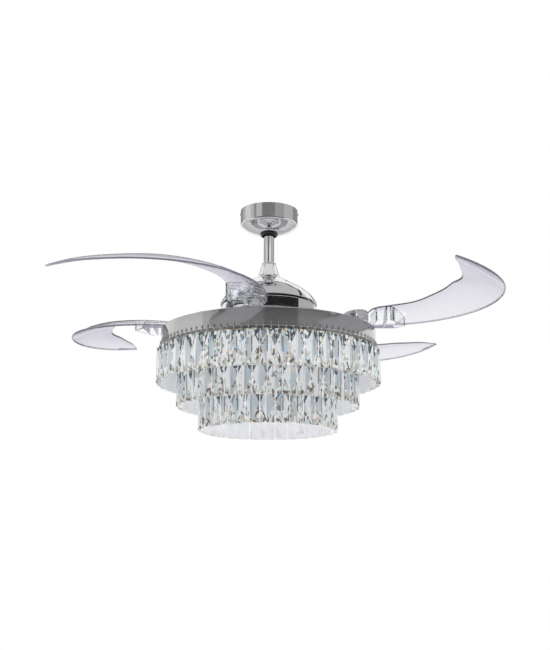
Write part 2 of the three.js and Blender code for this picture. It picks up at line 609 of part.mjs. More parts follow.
function stemGroup() {
  const ballPin = crossBar(BALL_PIN.radius, 2 * (BALL.radius - BALL_PIN.inset), ballZ);
  const clevisLength = 2 * (couplingRadius + CLEVIS_PIN.proud);
  const clevisPin = crossBar(CLEVIS_PIN.radius, clevisLength, rodEnd + CLEVIS_PIN.aboveRodEnd);
  const shaftLow = underPan - NUT.height - NUT.threadOut;
  const shaft = ring(SHAFT.bore, SHAFT.radius, shaftLow, rodEnd - SHAFT.belowRodEnd, SEGMENTS.small);
  const halfStator = STATOR.height / 2;
  return group(
    piece('hanger_ball', hangerBall(), MATERIALS.black),
    piece('ball_pin', ballPin, MATERIALS.zincSteel),
    piece('downrod', downrod(), MATERIALS.chrome),
    piece('coupling', coupling(), MATERIALS.zincSteel),
    piece('clevis_pin', clevisPin, MATERIALS.zincSteel),
    piece('coupling_cover', couplingCover(), MATERIALS.chrome),
    piece('dome', dome(), MATERIALS.chrome),
    piece('motor_shaft', shaft, MATERIALS.zincSteel),
    piece('stator_core', statorCore(), MATERIALS.lamination),
    piece('upper_winding', winding(rotorSeam + halfStator + GAP), MATERIALS.copper),
    piece('lower_winding', winding(rotorSeam - halfStator - GAP - WINDING.height), MATERIALS.copper),
    piece('pan_nut_upper', hexNut(panTop + GAP + NUT.height), MATERIALS.zincSteel),
    piece('pan_nut_lower', hexNut(underPan), MATERIALS.zincSteel),
    piece('light_pan', lightPan(), MATERIALS.white),
    piece('band', band(), MATERIALS.bandSteel),
    piece('rail_frame', railFrame(), MATERIALS.white),
    piece('middle_rail', tierRail(TIERS.middle), MATERIALS.chrome),
    piece('inner_rail', tierRail(TIERS.inner), MATERIALS.chrome),
    piece('led_driver', ledDriver(), MATERIALS.white),
    piece('lamp_plate', lampPlate(), MATERIALS.aluminium),
    piece('led_board', ledBoard(), MATERIALS.board),
    piece('diffuser', diffuser(), MATERIALS.opal),
    Object.keys(TIERS).map((name) => piece(`${name}_crystals`, hookedTier(TIERS[name]), MATERIALS.crystal)),
  );
}

// --------------------------------------------------------------- rotor: what the motor spins, with gears

const pivotPoint = polar(PIVOT.radius, PIVOT.azimuth);
const hubPitchRadius = PIVOT.radius / (GEAR.ratio + 1);
const ringPitchRadius = PIVOT.radius - hubPitchRadius;
const ringTeeth = GEAR.hubTeeth * GEAR.ratio;
const toothModule = (2 * hubPitchRadius) / GEAR.hubTeeth;
const bladeTurns = Array.from({ length: PIVOT.count }, (_, i) => (360 / PIVOT.count) * (i - 1));

/** Half of the motor's housing, from its rim at the seam to the pocket of its bearing. up is 1 or -1. */
function rotorHousing(up, height) {
  const { wall, hubWall } = ROTOR;
  const level = (fromSeam) => rotorSeam + up * fromSeam;
  const pocket = bearingRadius + GAP;
  const hub = pocket + hubWall;
  const floor = height - wall;
  const hubEnd = floor - BEARING.width - 1;
  const hole = SHAFT.radius + 3;
  const shoulder = height / 4;
  return turned([
    [hole, level(height)], [rotorRadius - shoulder, level(height)], [rotorRadius, level(height - shoulder)],
    [rotorRadius, level(GAP / 2)], [rotorRadius - wall, level(GAP / 2)],
    [rotorRadius - wall, level(floor - shoulder)], [rotorRadius - wall - shoulder, level(floor)],
    [hub, level(floor)], [hub, level(hubEnd)],
    [pocket, level(hubEnd)], [pocket, level(floor)], [hole, level(floor)],
  ], SEGMENTS.large);
}

function bearing(lowZ) {
  return ring(SHAFT.radius + RUNNING_GAP, bearingRadius, lowZ, lowZ + BEARING.width, SEGMENTS.small);
}

/** The plate that carries the blades: pivot bosses, stop lugs, windows, and a spigot under the motor. */
function bladeCarrier() {
  const quarters = around(PIVOT.count, (angle) => angle);
  const { inner, outer, spread } = CARRIER_WINDOW;
  const windows = quarters.map((angle) => {
    const middle = PIVOT.azimuth + angle + 180 / PIVOT.count;
    const outline = [
      ...arc([0, 0], outer, middle - spread, middle + spread, 4),
      ...arc([0, 0], inner, middle + spread, middle - spread, 3),
    ];
    return plate(outline, carrierLow - 1, carrierTop + 1);
  });
  const hole = SHAFT.radius + NUT.wall + CARRIER.aroundNut;
  const disk = cut(ring(hole, bladeOuter, carrierLow, carrierTop, SEGMENTS.large), windows);
  const spigotLow = carrierTop - CARRIER_SPIGOT.bite;
  const spigot = ring(CARRIER_SPIGOT.inner, CARRIER_SPIGOT.outer, spigotLow, rotorLow - GAP, SEGMENTS.medium);
  const lugAngle = THREE.MathUtils.radToDeg((BUMPER.radius + STOP_LUG.radius + RUNNING_GAP) / bumperReach);
  const lugs = [BUMPER.bearing + lugAngle, BUMPER.bearing - PIVOT.swing - lugAngle].map((direction) => {
    const [x, y] = polar(bumperReach, direction);
    const at = [pivotPoint[0] + x, pivotPoint[1] + y];
    return disc(STOP_LUG.radius, spigotLow, carrierTop + STOP_LUG.height, SEGMENTS.tiny, at);
  });
  const bossLow = gearTop + 2 * GAP;
  const bossTop = carrierTop + CARRIER.bossRise;
  const boss = disc(bossRadius, bossLow, bossTop, SEGMENTS.small, pivotPoint);
  const bore = drill(HUB.journal + RUNNING_GAP, bossLow - 1, bossTop + 1, SEGMENTS.small, pivotPoint);
  const ofEachBlade = quarters.flatMap((angle) => [boss, ...lugs].map((part) => part.rotate([0, 0, angle])));
  return cut(joined(disk, spigot, ofEachBlade), quarters.map((angle) => bore.rotate([0, 0, angle])));
}

/** A coil of round wire about the pivot's lower boss, which folds the blade again. */
function torsionSpring() {
  const { wire, turns, pitch, stepsPerTurn } = SPRING;
  const coilRadius = overFlats(bossRadius + wire / 2 + GAP, stepsPerTurn);
  const topZ = carrierLow - GAP - wire / 2;
  class Helix extends THREE.Curve {
    getPoint(t, target = new THREE.Vector3()) {
      const angle = 2 * Math.PI * turns * t;
      return target.set(coilRadius * Math.cos(angle), coilRadius * Math.sin(angle), topZ - pitch * turns * t);
    }
  }
  const section = new THREE.Shape(arc([0, 0], wire / 2, 0, 270, 3).map(([x, y]) => new THREE.Vector2(x, y)));
  const steps = Math.round(turns * stepsPerTurn);
  const coil = new THREE.ExtrudeGeometry(section, { steps, extrudePath: new Helix() });
  return solid(coil).translate([...pivotPoint, 0]);
}

function rotorGroup() {
  const { upperHeight, lowerHeight, wall } = ROTOR;
  const springs = bladeTurns.map((turn, i) => {
    const spring = piece(`torsion_spring_${i + 1}`, torsionSpring(), MATERIALS.spring);
    spring.rotation.z = rad(turn);
    return spring;
  });
  const half = MAGNET.height / 2;
  const magnetInner = magnetOuter - MAGNET.thickness;
  const magnets = ring(magnetInner, magnetOuter, rotorSeam - half, rotorSeam + half, SEGMENTS.large);
  return group(
    piece('rotor_housing_upper', rotorHousing(1, upperHeight), MATERIALS.chrome),
    piece('rotor_housing_lower', rotorHousing(-1, lowerHeight), MATERIALS.chrome),
    piece('magnet_ring', magnets, MATERIALS.magnet),
    piece('upper_bearing', bearing(rotorTop - wall - GAP - BEARING.width), MATERIALS.zincSteel),
    piece('lower_bearing', bearing(rotorLow + wall + GAP), MATERIALS.zincSteel),
    piece('blade_carrier', bladeCarrier(), MATERIALS.aluminium),
    springs,
  );
}

const sectorTeeth = Math.ceil((PIVOT.swing / 360) * GEAR.hubTeeth) + 2;

/** A stretch of teeth and then a plain rim on the root circle, which together span repeat degrees. */
function toothedStretch(pitchRadius, toothPitch, firstTooth, repeat) {
  const tipRadius = pitchRadius + GEAR.addendum * toothModule;
  const rootRadius = pitchRadius - GEAR.dedendum * toothModule;
  const halfWidth = (Math.PI * toothModule) / 4 - GEAR.backlash / 4;
  const lean = Math.tan(rad(GEAR.flank));
  const halfAngle = (r) => THREE.MathUtils.radToDeg((halfWidth - (r - pitchRadius) * lean) / r);
  const teeth = Array.from({ length: sectorTeeth }, (_, i) => {
    const middle = firstTooth + i * toothPitch;
    return [
      polar(rootRadius, middle - halfAngle(rootRadius)), polar(tipRadius, middle - halfAngle(tipRadius)),
      polar(tipRadius, middle + halfAngle(tipRadius)), polar(rootRadius, middle + halfAngle(rootRadius)),
    ];
  });
  const rimFrom = firstTooth + (sectorTeeth - 1) * toothPitch + halfAngle(rootRadius);
  const rimTo = firstTooth + repeat - halfAngle(rootRadius);
  return [...teeth.flat(), ...arc([0, 0], rootRadius, rimFrom, rimTo, 7).slice(1, -1)];
}

/** The hub's outline about its own axis. A tooth lies on the line to the fan's axis in the rest pose. */
function hubOutline() {
  const toothPitch = 360 / GEAR.hubTeeth;
  return toothedStretch(hubPitchRadius, toothPitch, PIVOT.azimuth + 180 - toothPitch, 360);
}

/** The ring's outline: a toothed stretch for each hub, with a tooth gap on the line to each pivot at rest. */
function ringOutline() {
  const toothPitch = 360 / (GEAR.hubTeeth * GEAR.ratio);
  const first = PIVOT.azimuth - toothPitch * (sectorTeeth - 1.5);
  return around(PIVOT.count, (angle) => (
    toothedStretch(ringPitchRadius, toothPitch, first + angle, 360 / PIVOT.count)
  )).flat();
}

function syncRing() {
  const inner = ringPitchRadius - GEAR.dedendum * toothModule - SYNC_RING.rim;
  return cut(plate(ringOutline(), gearLow, gearTop), disc(inner, gearLow - 1, gearTop + 1, SEGMENTS.large));
}

// -------------------------------------------------------------------------------------------- the blades

/** Radius of the folded blade's inner edge at an angle from its pivot: a smooth curve through its widths. */
function innerEdge(degrees) {
  const points = BLADE_WIDTHS;
  const last = points.length - 2;
  const next = points.findIndex(([angle]) => angle > degrees);
  const i = next < 0 ? last : Math.max(0, next - 1);
  const [[a0, w0], [a1, w1]] = [points[i], points[i + 1]];
  const slope = (j) => {
    const [before, after] = [points[Math.max(0, j - 1)], points[Math.min(points.length - 1, j + 1)]];
    return (after[1] - before[1]) / (after[0] - before[0]);
  };
  const span = a1 - a0;
  const t = (degrees - a0) / span;
  const [t2, t3] = [t * t, t * t * t];
  const width = (2 * t3 - 3 * t2 + 1) * w0 + (t3 - 2 * t2 + t) * span * slope(i)
    + (3 * t2 - 2 * t3) * w1 + (t3 - t2) * span * slope(i + 1);
  return bladeOuter - width;
}

/** Height of the folded blade's middle surface: it climbs round the fan, slopes up inwards and is arched. */
function bladeHeight(degrees, radius) {
  const { edgeAboveCarrier, climb, sweepUpFrom, sweepUp, pitch, camber } = BLADE;
  const width = bladeOuter - innerEdge(degrees);
  const across = (bladeOuter - radius) / width;
  const edge = carrierTop + edgeAboveCarrier + climb * degrees;
  const lift = Math.max(0, (degrees - sweepUpFrom) / 60) ** 2 * sweepUp;
  return edge + lift + pitch * (bladeOuter - radius) + 4 * camber * width * across * (1 - across);
}

/** A closed solid between two heights over a patch of the folded blade, azimuths clockwise from the pivot. */
function patch(angles, innerOf, outerOf, topOf, lowOf, columns) {
  const row = (degrees, heightOf) => Array.from({ length: columns + 1 }, (_, i) => {
    const r = innerOf(degrees) + ((outerOf(degrees) - innerOf(degrees)) * i) / columns;
    return [...polar(r, PIVOT.azimuth - degrees), heightOf(degrees, r)];
  });
  const tops = angles.map((degrees) => row(degrees, topOf));
  const lows = angles.map((degrees) => row(degrees, lowOf));
  const position = [];
  const quad = (a, b, c, d) => position.push(...a, ...b, ...c, ...a, ...c, ...d);
  for (let i = 0; i + 1 < angles.length; i += 1) {
    for (let j = 0; j < columns; j += 1) {
      quad(tops[i][j], tops[i + 1][j], tops[i + 1][j + 1], tops[i][j + 1]);
      quad(lows[i][j], lows[i][j + 1], lows[i + 1][j + 1], lows[i + 1][j]);
    }
    quad(tops[i][0], lows[i][0], lows[i + 1][0], tops[i + 1][0]);
    quad(tops[i][columns], tops[i + 1][columns], lows[i + 1][columns], lows[i][columns]);
  }
  for (let j = 0; j < columns; j += 1) {
    quad(tops[0][j], tops[0][j + 1], lows[0][j + 1], lows[0][j]);
    quad(tops.at(-1)[j], lows.at(-1)[j], lows.at(-1)[j + 1], tops.at(-1)[j + 1]);
  }
  const geometry = new THREE.BufferGeometry();
  geometry.setAttribute('position', new THREE.Float32BufferAttribute(position, 3));
  return solid(geometry);
}

const bladeBase = carrierTop + BLADE.baseAboveCarrier;
const ABOVE_BLADE = 40; // taller than a blade's root: how far the tools that cut it reach

/** Everything between the middle surface of the blade's root and its base plane. */
function underBlade() {
  const angles = BLADE_STATIONS.filter((degrees) => degrees <= NECK.end + 15);
  return patch(angles, innerEdge, () => bladeOuter, bladeHeight, () => bladeBase, 3);
}

/** The plan of the ribbed root: the round head and the neck that widens into the sheet. */
function neckOutline(shrink) {
  const { start, inner, outer, end, endInset, flare, skin } = NECK;
  const at = (radius, degrees) => polar(radius, PIVOT.azimuth - degrees);
  const inset = shrink + skin;
  const insideAt = (degrees) => innerEdge(degrees) + inset;
  const outside = bladeOuter - inset;
  return [
    ...arc(pivotPoint, BLADE.headRadius - shrink, PIVOT.azimuth - 35, PIVOT.azimuth + 235, 11),
    at(insideAt(start) + flare, start), at(insideAt(inner[0]), inner[0]), at(insideAt(inner[1]), inner[1]),
    at(insideAt(inner[2]), inner[2] - shrink / 4), at(bladeOuter - endInset - shrink, end - shrink / 3),
    at(outside, outer[2] - shrink / 3), at(outside, outer[1]), at(outside, outer[0]),
  ];
}

/** The clear blade as it lies when folded, before it is swung out. */
function foldedBlade() {
  const { sheet, wall, ribs, headRadius, rootEnd } = BLADE;
  const half = sheet / 2;
  const topOf = (degrees, r) => bladeHeight(degrees, r) + half;
  const lowOf = (degrees, r) => bladeHeight(degrees, r) - half;
  const above = bladeBase + ABOVE_BLADE;
  const neck = plate(neckOutline(0), bladeBase, above);
  const rootZone = plate([
    [0, 0], ...arc([0, 0], bladeOuter + BAND.outsideBlades, PIVOT.azimuth - rootEnd, PIVOT.azimuth + 20, 4),
  ], bladeBase - 5, above + 1);
  const skin = cut(patch(BLADE_STATIONS, innerEdge, () => bladeOuter, topOf, lowOf, 3), cut(rootZone, neck));
  const headKeep = disc(headRadius + 1, bladeBase - 5, above, SEGMENTS.medium, pivotPoint);
  const ribWalls = ribs.map((degrees) => {
    const [x, y] = polar(PIVOT.radius, PIVOT.azimuth - degrees);
    const rib = block([-bladeOuter / 4, bladeOuter / 4], [-wall / 2, wall / 2], [bladeBase - 5, above]);
    return rib.rotate([0, 0, PIVOT.azimuth - degrees]).translate([x, y, 0]);
  });
  const pockets = cut(plate(neckOutline(wall), bladeBase - 5, above), headKeep, ribWalls);
  return joined(skin, cut(neck.intersect(underBlade()), pockets));
}

const stopPoint = polar(bumperReach, BUMPER.bearing).map((offset, i) => pivotPoint[i] + offset);
const earTop = carrierTop + EAR.aboveCarrier;
const earLow = earTop - EAR.thickness;

/** The clear blade, swung out, with its pivot bore, bolt seat and the ear of its stop. */
function blade() {
  const open = rotatedAbout(foldedBlade(), pivotPoint, PIVOT.swing);
  const web = block([BLADE.headRadius - 6, bumperReach], [-EAR.radius, EAR.radius], [earLow, earTop])
    .rotate([0, 0, BUMPER.bearing]).translate([...pivotPoint, 0]);
  const ear = joined(web, disc(EAR.radius, earLow, earTop, SEGMENTS.small, stopPoint));
  const above = bladeBase + ABOVE_BLADE;
  return cut(
    joined(open, ear),
    drill(BUMPER.neck + GAP, earLow - 1, earTop + 1, SEGMENTS.tiny, stopPoint),
    drill(BOLT.headRadius + GAP, hubTop + BOLT.aboveHub, above, SEGMENTS.small, pivotPoint),
    drill(BOLT.radius + GAP, bladeBase - 1, above, SEGMENTS.tiny, pivotPoint),
    drill(HUB.journal + GAP, bladeBase - 1, hubTop + GAP, SEGMENTS.small, pivotPoint),
  );
}

/** A hub whose journal turns in the carrier's boss. The ring rests on the flange under its teeth. */
function bladeHub() {
  const { journal, flangeOut, flange } = HUB;
  const body = joined(
    disc(journal, gearLow, hubTop, SEGMENTS.small),
    plate(hubOutline(), hubFlangeTop - flange / 2, gearTop),
    disc(hubPitchRadius + flangeOut, hubFlangeTop - flange, hubFlangeTop, SEGMENTS.small),
  );
  const bore = drill(BOLT.radius + GAP, gearLow, hubTop + 1, SEGMENTS.tiny);
  return cut(body, bore).translate([...pivotPoint, 0]);
}

function pivotBolt() {
  const { radius, headRadius, headHeight, aboveHub, length, socketRadius, socketDepth } = BOLT;
  const seat = hubTop + aboveHub + GAP;
  const top = seat + headHeight;
  const socket = disc(socketRadius, top - socketDepth, top + 1, 6, pivotPoint);
  const head = disc(headRadius, seat, top, SEGMENTS.small, pivotPoint);
  return cut(joined(head, disc(radius, seat - length, seat + 1, SEGMENTS.tiny, pivotPoint)), socket);
}

/** A rubber buffer, held in the blade's ear by its neck. It meets a lug at each end of the swing. */
function stopBumper() {
  const { radius, height, aboveCarrier, neck } = BUMPER;
  const low = carrierTop + aboveCarrier;
  const top = low + height;
  const profile = [
    [0, top], [radius - 2, top], [radius, top - 1.4], [radius, earTop + GAP], [neck, earTop + GAP],
    [neck, earLow - GAP], [radius, earLow - GAP], [radius, low + 1], [radius - 1, low], [0, low],
  ];
  return turned(profile, SEGMENTS.small).translate([...stopPoint, 0]);
}

function bladeGroup(turn, index) {
  const number = index + 1;
  const made = group(
    piece(`blade_${number}`, blade(), MATERIALS.clearBlade),
    piece(`blade_hub_${number}`, bladeHub(), MATERIALS.nylon),
    piece(`pivot_bolt_${number}`, pivotBolt(), MATERIALS.zincSteel),
    piece(`stop_bumper_${number}`, stopBumper(), MATERIALS.rubber),
  );
  made.rotation.z = rad(turn);
  return made;
}

// ------------------------------------------------------------------------------------------- whole fan

export default group(
  ceilingGroup(),
  stemGroup(),
  rotorGroup(),
  piece('sync_ring', syncRing(), MATERIALS.nylon),
  bladeTurns.map(bladeGroup),
);
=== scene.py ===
"""A retractable blade ceiling fan: chrome fittings, four clear blades and three tiers of cut-glass drops."""
import math

import bmesh
import bpy
from mathutils import Matrix, Vector


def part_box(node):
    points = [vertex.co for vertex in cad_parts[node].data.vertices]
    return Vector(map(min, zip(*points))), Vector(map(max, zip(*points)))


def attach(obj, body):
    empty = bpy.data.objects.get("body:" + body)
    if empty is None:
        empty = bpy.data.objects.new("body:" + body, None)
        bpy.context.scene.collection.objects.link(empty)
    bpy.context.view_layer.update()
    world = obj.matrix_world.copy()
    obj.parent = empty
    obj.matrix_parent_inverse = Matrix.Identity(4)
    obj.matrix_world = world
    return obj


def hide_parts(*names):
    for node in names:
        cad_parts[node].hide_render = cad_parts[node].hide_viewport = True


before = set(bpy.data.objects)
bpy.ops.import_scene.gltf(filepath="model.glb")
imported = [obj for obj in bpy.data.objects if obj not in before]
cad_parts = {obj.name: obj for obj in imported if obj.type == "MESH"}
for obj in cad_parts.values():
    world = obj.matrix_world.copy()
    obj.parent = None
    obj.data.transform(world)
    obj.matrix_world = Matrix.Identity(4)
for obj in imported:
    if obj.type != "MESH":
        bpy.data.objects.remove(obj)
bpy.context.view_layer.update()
MM = 0.001

# --------------------------------------------------------- the view
# The camera stands below the fan and a little right of it, and looks up at it. Its place was worked out
# from the round rims of the canopy, the band and the tiers, taking the image as 550 x 650 pixels.
PHOTO_HEIGHT = 650
FOCAL_PIXELS = 1070.3
SENSOR = 36.0
CAMERA_PLACE = (0.0269, -2.5946, -0.9060)
CAMERA_UP, CAMERA_LEFT, CAMERA_ROLL = 13.20, 0.24, 0.23


def linked(name, data):
    """A new object in the scene."""
    thing = bpy.data.objects.new(name, data)
    bpy.context.scene.collection.objects.link(thing)
    return thing


camera_data = bpy.data.cameras.new("view")
camera_data.sensor_width = SENSOR
camera_data.lens = FOCAL_PIXELS / PHOTO_HEIGHT * SENSOR
camera = linked("view", camera_data)
turn = (Matrix.Rotation(math.radians(CAMERA_LEFT), 4, "Z")
        @ Matrix.Rotation(math.radians(90 + CAMERA_UP), 4, "X")
        @ Matrix.Rotation(math.radians(CAMERA_ROLL), 4, "Z"))
camera.matrix_world = Matrix.Translation(CAMERA_PLACE) @ turn
bpy.context.scene.camera = camera
bpy.context.scene.view_settings.view_transform = "Standard"


# ------------------------------------------------------- the studio
# A pale floor far below, a white room, three soft lamps, and belts of grey panels round the fan's axis
# that only polished metal mirrors. A panel's directions count from +X, anticlockwise from above.
class Socket:
    """An output in a node tree. Python's arithmetic on it adds Math nodes."""

    def __init__(self, paint, link):
        self.paint = paint
        self.link = link

    def __add__(self, other):
        return self.paint.maths("ADD", self, other)

    def __radd__(self, other):
        return self.paint.maths("ADD", other, self)

    def __sub__(self, other):
        return self.paint.maths("SUBTRACT", self, other)

    def __rsub__(self, other):
        return self.paint.maths("SUBTRACT", other, self)

    def __mul__(self, other):
        return self.paint.maths("MULTIPLY", self, other)

    def __rmul__(self, other):
        return self.paint.maths("MULTIPLY", other, self)

    def __gt__(self, other):
        return self.paint.maths("GREATER_THAN", self, other)

    def __lt__(self, other):
        return self.paint.maths("LESS_THAN", self, other)


class Paint:
    """A node tree that is filled by calls: a material's, or the room's."""

    def __init__(self, owner):
        self.owner = owner
        owner.use_nodes = True
        self.tree = owner.node_tree
        self.tree.nodes.clear()

    def node(self, kind, settings=None, inputs=None, output=0):
        """Adds a node: first its settings, then the values or links of its sockets."""
        made = self.tree.nodes.new("ShaderNode" + kind)
        for name, value in (settings or {}).items():
            if name == "stops":
                ramp = made.color_ramp.elements
                while len(ramp) < len(value):
                    ramp.new(0.5)
                for stop, (place, colour) in zip(ramp, value):
                    stop.position = place
                    stop.color = (*colour, 1)
            else:
                setattr(made, name, value)
        for name, value in (inputs or {}).items():
            self.feed(made.inputs[name], value)
        return Socket(self, made.outputs[output]) if made.outputs else made

    def feed(self, socket, value):
        if isinstance(value, Socket):
            self.tree.links.new(value.link, socket)
        elif isinstance(value, tuple) and len(value) == 3 and socket.type == "RGBA":
            socket.default_value = (*value, 1)
        else:
            socket.default_value = value

    def maths(self, operation, *values):
        return self.node("Math", {"operation": operation}, dict(enumerate(values)))

    def place(self, stretch=(1, 1, 1)):
        """Where a point lies in the fan's frame, in metres, stretched along each axis."""
        spot = self.node("TexCoord", output=3)
        return self.node("Mapping", inputs={"Vector": spot, "Scale": stretch})

    def noise(self, scale, stretch=(1, 1, 1), detail=2.0):
        return self.node("TexNoise", inputs={"Vector": self.place(stretch), "Scale": scale, "Detail": detail})

    def blend(self, share, first, second):
        """A colour between two others."""
        return self.node("Mix", {"data_type": "RGBA"}, {0: share, 6: first, 7: second}, output=2)

    def bump(self, height, strength, distance):
        return self.node("Bump", inputs={"Height": height, "Strength": strength, "Distance": distance})

    def told(self, name):
        """What the mesh says of itself under a name."""
        return self.node("Attribute", {"attribute_name": name}, output="Fac")

    def skin(self, **inputs):
        """Ends a material with its surface."""
        named = {name.replace("_", " "): value for name, value in inputs.items()}
        surface = self.node("BsdfPrincipled", inputs=named)
        self.node("OutputMaterial", inputs={"Surface": surface})
        return self.owner


def fresh(name):
    """An empty material, ready for its nodes."""
    return Paint(bpy.data.materials.new(name))


FLOOR_Z = -2.4
FLOOR_REACH = 12
ROOM_WHITE = 1.0
ROOM_LIGHT = 0.55
room = Paint(bpy.data.worlds.new("room"))
bpy.context.scene.world = room.owner
rays = ("Is Camera Ray", "Is Glossy Ray", "Is Transmission Ray")
from_camera, from_gloss, from_glass = [room.node("LightPath", output=name) for name in rays]
seen = room.maths("MAXIMUM", room.maths("MAXIMUM", from_camera, from_gloss), from_glass)
glossy_before = room.node("LightPath", output="Glossy Depth") > 0.5
strength = ROOM_LIGHT + (ROOM_WHITE - ROOM_LIGHT) * seen * (1 - from_glass * glossy_before)
sky = room.node("Background", inputs={"Color": (1, 1, 1), "Strength": strength})
room.node("OutputWorld", inputs={"Surface": sky})


def staged(name, points, faces, material):
    mesh = bpy.data.meshes.new(name)
    mesh.from_pydata(points, [], faces)
    mesh.materials.append(material)
    thing = linked(name, mesh)
    return thing


floor_paint = fresh("floor_white")
floor_tone = floor_paint.blend(floor_paint.noise(1.5), (0.9, 0.9, 0.9), (0.94, 0.94, 0.94))
floor_paint.skin(Base_Color=floor_tone, Roughness=0.7)
corners = [(x * FLOOR_REACH, y * FLOOR_REACH, FLOOR_Z) for x, y in ((-1, -1), (1, -1), (1, 1), (-1, 1))]
staged("floor", corners, [(0, 1, 2, 3)], floor_paint.owner)

# Each belt of panels has its foot and top in metres, and its panels as (from, to, shade), in degrees.
PANEL_DISTANCE = 4.2
PANEL_STEP = 6
BELTS = {
    "beside_canopy": (1.27, 2.1, [(-222, -170, 0.75), (-170, -153, 0.55), (-153, -142, 0.30),
                                  (-142, -118, 0.55), (-118, -66, 0.22), (-66, -27, 0.38), (-27, 22, 0.52)]),
    "beside_rod": (0.93, 1.27, [(-215, -152, 0.55), (-152, -130, 0.85), (-130, -112, 0.55), (-112, -90, 0.13),
                                (-90, -78, 0.4), (-50, 20, 0.5), (20, 38, 0.6), (38, 142, 0.04)]),
    "beside_motor": (0.69, 0.93, [(-200, -150, 0.45), (-150, -12, 0.008), (-12, 60, 0.5)]),
    "beside_band": (0.10, 0.69, [(-205, -160, 0.9), (-160, -141, 0.68), (-141, -94, 0.29), (-94, -60, 0.21),
                                 (-60, -24, 0.37), (-24, 10, 0.72)]),
    "low": (-1.3, 0.10, [(-150, -30, 0.04)]),
    "behind_bell": (1.27, 1.9, [(20, 74, 0.3), (74, 106, 0.08), (106, 160, 0.3)]),
    "high_behind": (4.25, 4.85, [(-10, 190, 0.01)]),
}

panel_paint = fresh("panels")
panel_glow = panel_paint.node("Emission", inputs={"Color": (1, 1, 1), "Strength": panel_paint.told("shade")})
panel_paint.node("OutputMaterial", inputs={"Surface": panel_glow})


def mirrored(name, points, faces, shades):
    """Panels that only polished metal mirrors, each with its own shade."""
    thing = staged(name, points, faces, panel_paint.owner)
    thing.data.attributes.new("shade", "FLOAT", "FACE").data.foreach_set("value", shades)
    thing.visible_camera = False
    thing.visible_diffuse = False
    thing.visible_transmission = False
    thing.visible_shadow = False


for name, (low, high, panels) in BELTS.items():
    points, faces, shades = [], [], []
    for begin, end, tone in panels:
        steps = max(1, round((end - begin) / PANEL_STEP))
        for k in range(steps):
            pair = [math.radians(begin + (end - begin) * j / steps) for j in (k, k + 1)]
            faces.append(tuple(range(len(points), len(points) + 4)))
            shades.append(tone)
            points += [(PANEL_DISTANCE * math.cos(t), PANEL_DISTANCE * math.sin(t), z)
                       for t, z in ((pair[0], low), (pair[1], low), (pair[1], high), (pair[0], high))]
    mirrored(f"panels_{name}", points, faces, shades)

# Two panels overhead, one over the front of the fan and one behind it.
CEILING_Z = 5.0
CEILING_HALF = 6.0
for name, near, far, tone in (("behind", -1.5, 4.1, 0.56), ("front", -7.0, -1.5, 0.82)):
    points = [(x * CEILING_HALF, y, CEILING_Z) for x, y in ((-1, near), (1, near), (1, far), (-1, far))]
    mirrored(f"ceiling_{name}", points, [(0, 1, 2, 3)], [tone])

LAMPS_AIM = Vector((0, 0, -0.35))
for name, place, size, power in [
    ("key_lamp", (-1.5, -2.0, 2.9), 1.6, 62),
    ("fill_lamp", (2.1, -1.3, 2.5), 1.4, 34),
    ("back_lamp", (0.6, 2.4, 1.4), 1.6, 22),
]:
    lamp_data = bpy.data.lights.new(name, "AREA")
    lamp_data.size = size
    lamp_data.energy = power
    lamp = linked(name, lamp_data)
    lamp.location = place
    lamp.rotation_euler = (LAMPS_AIM - Vector(place)).to_track_quat("-Z", "Y").to_euler()
    lamp.visible_glossy = False
    lamp.visible_transmission = False


# ------------------------------------------------------- the canopy
# A chrome cup spun from one sheet, held to the bracket by two side screws, with a black trim ring in its
# hole. Its skirt is straight, and its underside is a shallow dish.
def chrome(name, shade=0.80, dullness=0.045, smudge=0.05):
    """Bright plate with faint smudges and a fine, uneven polish."""
    paint = fresh(name)
    smear = paint.noise(9.0, detail=4.0)
    grain = paint.noise(420.0, stretch=(1, 1, 2.2))
    tone = paint.blend(smear, (shade * 0.96, shade * 0.97, shade), (shade, shade, shade))
    relief = paint.bump(grain, 0.04, 0.0004)
    return paint.skin(Base_Color=tone, Metallic=1.0, Roughness=dullness + smudge * smear, Normal=relief)


def rounded(corners, closed=True, steps=5):
    """A profile with its corners rounded. A corner is (radius, height, fillet) in millimetres.

    A point just before and after each rounding keeps the long flat stretches flat in reflections."""
    points = []
    for i, (radius, height, fillet) in enumerate(corners):
        here = Vector((radius, height))
        if fillet == 0 or (not closed and i in (0, len(corners) - 1)):
            points.append(here)
            continue
        back = Vector(corners[i - 1][:2]) - here
        onward = Vector(corners[(i + 1) % len(corners)][:2]) - here
        run = min(fillet, back.length * 0.48, onward.length * 0.48)
        start = here + back.normalized() * run
        end = here + onward.normalized() * run
        spare = 0.2 * min(fillet, 1)
        points.append(start + back.normalized() * spare)
        for k in range(steps + 1):
            t = k / steps
            points.append(start.lerp(here, t).lerp(here.lerp(end, t), t))
        points.append(end + onward.normalized() * spare)
    return points


def bulged(points, steps=6):
    """A smooth curve through (radius, height) points, for a profile with no corners."""
    curve = []
    for i in range(len(points) - 1):
        p0, p1, p2, p3 = (Vector(points[max(0, min(len(points) - 1, i + k))]) for k in (-1, 0, 1, 2))
        for k in range(steps):
            t = k / steps
            curve.append(0.5 * (2 * p1 + (p2 - p0) * t + (2 * p0 - 5 * p1 + 4 * p2 - p3) * t ** 2
                                + (3 * p1 - p0 - 3 * p2 + p3) * t ** 3))
    return curve + [Vector(points[-1])]


def meshed(bm, name):
    """A mesh from a bmesh, with its faces outward."""
    bmesh.ops.recalc_face_normals(bm, faces=bm.faces)
    mesh = bpy.data.meshes.new(name)
    bm.to_mesh(mesh)
    bm.free()
    return mesh


